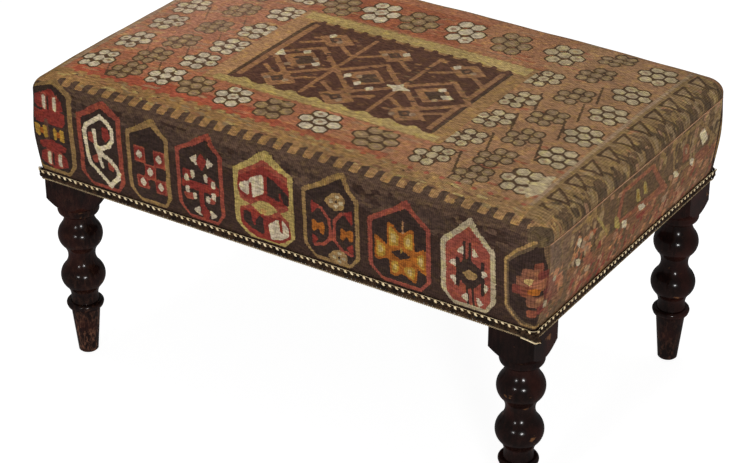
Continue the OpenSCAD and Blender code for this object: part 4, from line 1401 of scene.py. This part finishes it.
class Round:
    """The way round the seat's lower edge in whole pitches, at a distance outside the cover's sharp faces"""

    def __init__(self, grow, pitch, steps):
        self.half = np.array([HALF_L + grow, HALF_W + grow])
        self.radius = LOW_CORNER_R + grow
        self.straight = 2 * (self.half - self.radius)
        self.bend = self.radius * math.pi / 2
        self.length = 2 * self.straight.sum() + 4 * self.bend
        self.turns = round(self.length / pitch)
        s = np.arange(self.turns * steps) * self.length / (self.turns * steps)
        self.phase = TAU * (s / self.length * self.turns)
        self.points, self.out = self.at(s)
        self.fold = self.fold_at(s)

    def at(self, s):
        """Place at height zero and outward direction at each distance s from the front left corner"""
        s = s % self.length
        place = np.zeros((len(s), 3))
        out = np.zeros((len(s), 3))
        start = 0.0
        for k in range(4):
            way = np.array([math.cos(k * math.pi / 2), math.sin(k * math.pi / 2), 0.0]).round()
            normal = np.array([way[1], -way[0], 0.0])
            middle = normal * self.half[(k + 1) % 2]
            run = self.straight[k % 2]
            here = (s >= start) & (s < start + run)
            place[here] = middle + (s[here] - start - run / 2)[:, None] * way
            out[here] = normal
            start += run
            here = (s >= start) & (s <= start + self.bend)
            turn = (s[here] - start)[:, None] / self.radius
            out[here] = np.cos(turn) * normal + np.sin(turn) * way
            place[here] = middle + way * run / 2 + (out[here] - normal) * self.radius
            start += self.bend
        return place, out

    def fold_at(self, s):
        """How much the braid stands out at s, where it is folded round the corners"""
        sides = self.straight[[0, 1, 0, 1]] + self.bend
        fold = np.zeros(len(s))
        for corner in np.cumsum(sides) - self.bend / 2:
            gap = np.abs((s - corner + self.length / 2) % self.length - self.length / 2)
            fold += np.exp(-(gap / FOLD_HALF) ** 4)
        return fold

    def line(self, stand, height):
        """Points round the way, that far out of it and at that height"""
        return self.points + self.out * stand[:, None] + UP * height[:, None]


def make_braid():
    """Three flat strands plaited round the lower edge"""
    path = Round(BRAID_OUT, BRAID_PITCH, BRAID_STEPS)
    parts = []
    for k in range(3):
        phase = path.phase + TAU * k / 3
        stand = BRAID_CROSS * np.sin(2 * phase) + FOLD_OUT * path.fold
        line = path.line(stand, BRAID_Z + BRAID_RISE * np.sin(phase))
        parts.append(sweep(line, path.out, UP, oval(*BRAID_STRAND)))
    piece = make_object("braid", *join_parts(parts))
    dress(piece, "gimp")
    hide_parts("gimp")


def make_loose_end():
    """The end of the front braid, which runs on past the corner at the right"""
    steps = np.linspace(0, 1, END_STEPS + 1)
    x = HALF_L - END_START + END_LENGTH * steps
    y = -(HALF_W + END_OUT + END_SPLAY * steps)
    points = np.stack([x, y, BRAID_Z - END_DROP * steps], 1)
    thin = 1 - END_THIN_SHARE * smooth((steps - END_THIN_FROM_SHARE) / (1 - END_THIN_FROM_SHARE))
    parts = []
    for k in range(3):
        phase = TAU * (END_LENGTH * steps / BRAID_PITCH + k / 3)
        line = points - BACK * (END_CROSS * np.sin(2 * phase))[:, None]
        line += UP * (END_RISE * thin * np.sin(phase))[:, None]
        parts.append(sweep(line, -BACK, UP, oval(*END_STRAND), closed=False))
    dress(make_object("braid_end", *join_parts(parts)), "gimp")
    line = points - UP * (END_CORD_DROP * thin)[:, None]
    cord = make_object("braid_end_cord", *sweep(line, -BACK, UP, oval(*END_CORD), closed=False))
    dress(cord, "gimp", "stitch")


def make_stitches():
    """The light thread along the braid's upper edge, and its stitches down over the braid"""
    path = Round(STITCH_OUT, STITCH_PITCH, STITCH_STEPS)
    dip = THREAD_DIP * np.abs(np.sin(path.phase / 2))
    line = path.line(FOLD_OUT * path.fold - dip, braid_high.z - dip)
    parts = [sweep(line, path.out, UP, oval(*THREAD))]
    steps = np.linspace(0, 1, STITCH_STEPS)[:, None]
    for k in range(path.turns):
        base = path.points[k * STITCH_STEPS] + UP * (braid_high.z + STITCH_HIGH)
        out = path.out[k * STITCH_STEPS][None]
        way = np.array([[-out[0, 1], out[0, 0], 0.0]])
        stand = STITCH_STAND + FOLD_OUT * path.fold[k * STITCH_STEPS] - STITCH_SINK * steps ** 3
        lean = STITCH_LEAN + STITCH_VARY * math.sin(k * 1.7)
        length = STITCH_LENGTH + STITCH_VARY * math.sin(k * 2.3)
        line = base + out * stand + way * lean * steps - UP * length * steps
        parts.append(sweep(line, out, way, oval(*STITCH), closed=False))
    dress(make_object("braid_stitches", *join_parts(parts)), "gimp", "stitch")


def make_edging():
    """A cord of two twisted strands under the braid"""
    radius = (cord_high.z - cord_low.z) / 2
    path = Round(radius - COVER_T, CORD_PITCH, CORD_STEPS)
    twist = radius * CORD_TWIST_SHARE
    strand = oval(radius * CORD_STRAND_SHARE, radius * CORD_STRAND_SHARE, CORD_SIDES)
    parts = []
    for k in range(2):
        phase = path.phase + TAU * k / 2
        stand = twist * np.cos(phase) + CORD_FOLD * path.fold
        line = path.line(stand, cord_low.z + radius + twist * np.sin(phase))
        parts.append(sweep(line, path.out, UP, strand))
    piece = make_object("edging", *join_parts(parts))
    dress(piece, "edging")
    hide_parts("edge_cord")


def make_seam(panel, side):
    """A raised line of chain stitches where the top meets a side panel"""
    mesh = panel.data
    upper = corner_points(mesh)[net_of(mesh)[..., 1] > -SEAM_DROP - 0.1 * MM]
    edge = coordinates(mesh)[np.unique(upper)]
    edge = edge[np.argsort(edge[:, 1])]
    y = np.linspace(edge[0, 1], edge[-1, 1], SEAM_STEPS)
    points = np.stack([np.interp(y, edge[:, 1], edge[:, k]) for k in range(3)], 1)
    out = ALONG if side == "right" else -ALONG
    parts = []
    for k in range(2):
        phase = TAU * y / SEAM_PITCH + k * math.pi
        line = points + out * (SEAM_OUT + SEAM_CROSS * np.cos(phase))[:, None]
        line += UP * (SEAM_RISE * np.sin(phase))[:, None]
        parts.append(sweep(line, out, UP, oval(*SEAM_YARN), closed=False))
    piece = make_object("seam_stitches_" + side, *join_parts(parts))
    dress(piece, "seam_thread")
    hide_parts("seam_" + side)


# Hidden layers and the dust cover


def layer_grid(inset, base):
    """Places and faces of a layer that far inside the cover, down to its base"""
    sharp, faces, _, _ = seat_grid(base, inset)
    return skin_places(sharp, base, inset), faces


def make_foam():
    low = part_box("foam_core")[0]
    places, faces = layer_grid(FOAM_IN, low.z)
    places = np.concatenate([places, [[0, 0, low.z]]])
    foam = make_object("foam_block", places, close_below(places, faces))
    dress(foam, "foam")
    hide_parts("foam_core")


def close_below(places, faces):
    """The faces, with a fan from the last point to the open lower edge"""
    edges = {(int(a), int(b)): True for f in faces for a, b in zip(f, np.roll(f, -1))}
    middle = len(places) - 1
    return [list(f) for f in faces] + [[b, a, middle] for a, b in edges if (b, a) not in edges]


def make_lining():
    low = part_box("calico_lining")[0]
    lining = make_object("lining_cloth", *layer_grid(LINING_IN, low.z))
    dress(lining, "calico")
    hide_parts("calico_lining")


def make_wadding():
    wadding = make_object("wadding_layer", *layer_grid(WADDING_IN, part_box("wadding")[0].z))
    thick = wadding.modifiers.new("thickness", "SOLIDIFY")
    thick.thickness = WADDING_T
    thick.offset = -1
    apply_modifiers(wadding)
    dress(wadding, "wadding")
    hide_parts("wadding")


def make_hessian():
    """Coarse jute cloth over the webbing, pressed down a little between its strips"""
    low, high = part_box("hessian")
    along, across, faces = flat_grid(low, high, HESSIAN_CELLS)
    waves = [np.cos(place * TAU * count / (2 * half))
             for place, count, half in zip((along, across), HESSIAN_DIPS, high)]
    places = np.stack([along, across, (low.z + high.z) / 2 + HESSIAN_DIP * (waves[0] + waves[1])], -1)
    piece = make_object("hessian_cloth", places.reshape(-1, 3), faces)
    dress(piece, "hessian")
    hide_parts("hessian")


def make_dust_cover():
    """Thin black cloth under the rails, sagging a little between its tacks, cut out round the posts"""
    low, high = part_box("dust_cover")
    along, across, faces = flat_grid(low, high, DUST_CELLS)
    sag = DUST_SAG * (1 - (along / high.x) ** 2) * (1 - (across / high.y) ** 2)
    ripple = DUST_RIPPLE * np.sin(along * DUST_RIPPLES) * np.sin(across * DUST_RIPPLES)
    places = np.stack([along, across, (low.z + high.z) / 2 - sag + ripple], -1).reshape(-1, 3)
    middle = np.abs(places[faces].mean(1))
    at_post = (middle[:, 0] > post_low.x - MM) & (middle[:, 1] > post_low.y - MM)
    used, faces = np.unique(faces[~at_post], return_inverse=True)
    piece = make_object("dust_cloth", places[used], faces.reshape(-1, 4))
    dress(piece, "dust_cloth")
    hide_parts("dust_cover")


# Camera, light and floor


def make_stage():
    camera = bpy.data.objects.new("camera", bpy.data.cameras.new("camera"))
    camera.location = CAMERA_PLACE
    camera.rotation_euler = (math.pi / 2 - CAMERA_PITCH, 0, CAMERA_YAW)
    camera.data.lens = CAMERA_LENS
    camera.data.sensor_width = CAMERA_SENSOR
    scene.collection.objects.link(camera)
    scene.camera = camera

    world = bpy.data.worlds.new("studio")
    world.use_nodes = True
    world.node_tree.nodes["Background"].inputs["Color"].default_value = WHITE
    world.node_tree.nodes["Background"].inputs["Strength"].default_value = WORLD_LIGHT
    scene.world = world
    scene.view_settings.view_transform = "Standard"

    for lamp in LIGHTS:
        add_light(*lamp)
    make_floor()
    make_backdrop()


def add_light(name, place, wide, tall, power):
    data = bpy.data.lights.new(name, "AREA")
    data.shape = "ELLIPSE"
    data.size = wide
    data.size_y = tall
    data.energy = power
    light = bpy.data.objects.new(name, data)
    light.location = place
    light.rotation_euler = (LIGHTS_AIM - Vector(place)).to_track_quat("-Z", "Y").to_euler()
    scene.collection.objects.link(light)


def glowing(name, strength, **sockets):
    """A matt material that gives off white light"""
    return Shader(name, Roughness=1.0, Specular_IOR_Level=0.0, Emission_Color=WHITE,
                  Emission_Strength=strength, **sockets)


def make_floor():
    corners = [(x * FLOOR_HALF, y * FLOOR_HALF, 0) for x, y in ((-1, -1), (1, -1), (1, 1), (-1, 1))]
    floor = make_object("floor", corners, [range(4)])
    s = glowing("floor", FLOOR_GLOW)
    greys = [(grey, grey, grey, 1) for grey in FLOOR_GREYS]
    s.set(Base_Color=s.mix(s.noise(s.place(), FLOOR_GRAIN), *greys))
    floor.data.materials.append(s.material)
    floor.visible_glossy = False


def make_backdrop():
    """A white wall all round the floor, seen in low views; it lights nothing"""
    turn = np.arange(BACKDROP_SIDES) * TAU / BACKDROP_SIDES
    ring = np.stack([np.cos(turn), np.sin(turn), 0 * turn], 1) * FLOOR_HALF
    round_numbers = np.arange(BACKDROP_SIDES + 1) % BACKDROP_SIDES
    faces = grid_faces(np.stack([round_numbers, round_numbers + BACKDROP_SIDES]))
    wall = make_object("backdrop", np.concatenate([ring, ring + UP * BACKDROP_H]), faces)
    wall.data.materials.append(glowing("backdrop", 1.0, Base_Color=BLACK).material)
    for rays in ("diffuse", "glossy", "transmission", "shadow"):
        setattr(wall, "visible_" + rays, False)


# Building

make_stage()

cloths = make_seat()
main_canvas = paint_main()
panel_canvas = paint_panel()
for name, replaced in (("cover_cloth", "cover"), ("side_cloth_left", "side_panel_left"),
                       ("side_cloth_right", "side_panel_right")):
    piece = cloths[name]
    paint_mesh(piece, main_canvas if name == "cover_cloth" else panel_canvas)
    dress(piece, "kilim")
    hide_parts(replaced)

make_braid()
make_loose_end()
make_stitches()
make_edging()
for side in ("left", "right"):
    make_seam(cloths["side_cloth_" + side], side)
make_foam()
make_lining()
make_wadding()
make_hessian()
make_dust_cover()

# Materials of the CAD parts that stay
slots = {part["node"]: part["material_slot"] for part in frame["record"]["subparts"]}
for name, node in nodes.items():
    if node.hide_render:
        continue
    node.data.materials.clear()
    node.data.materials.append(MATERIALS[slots[name]])
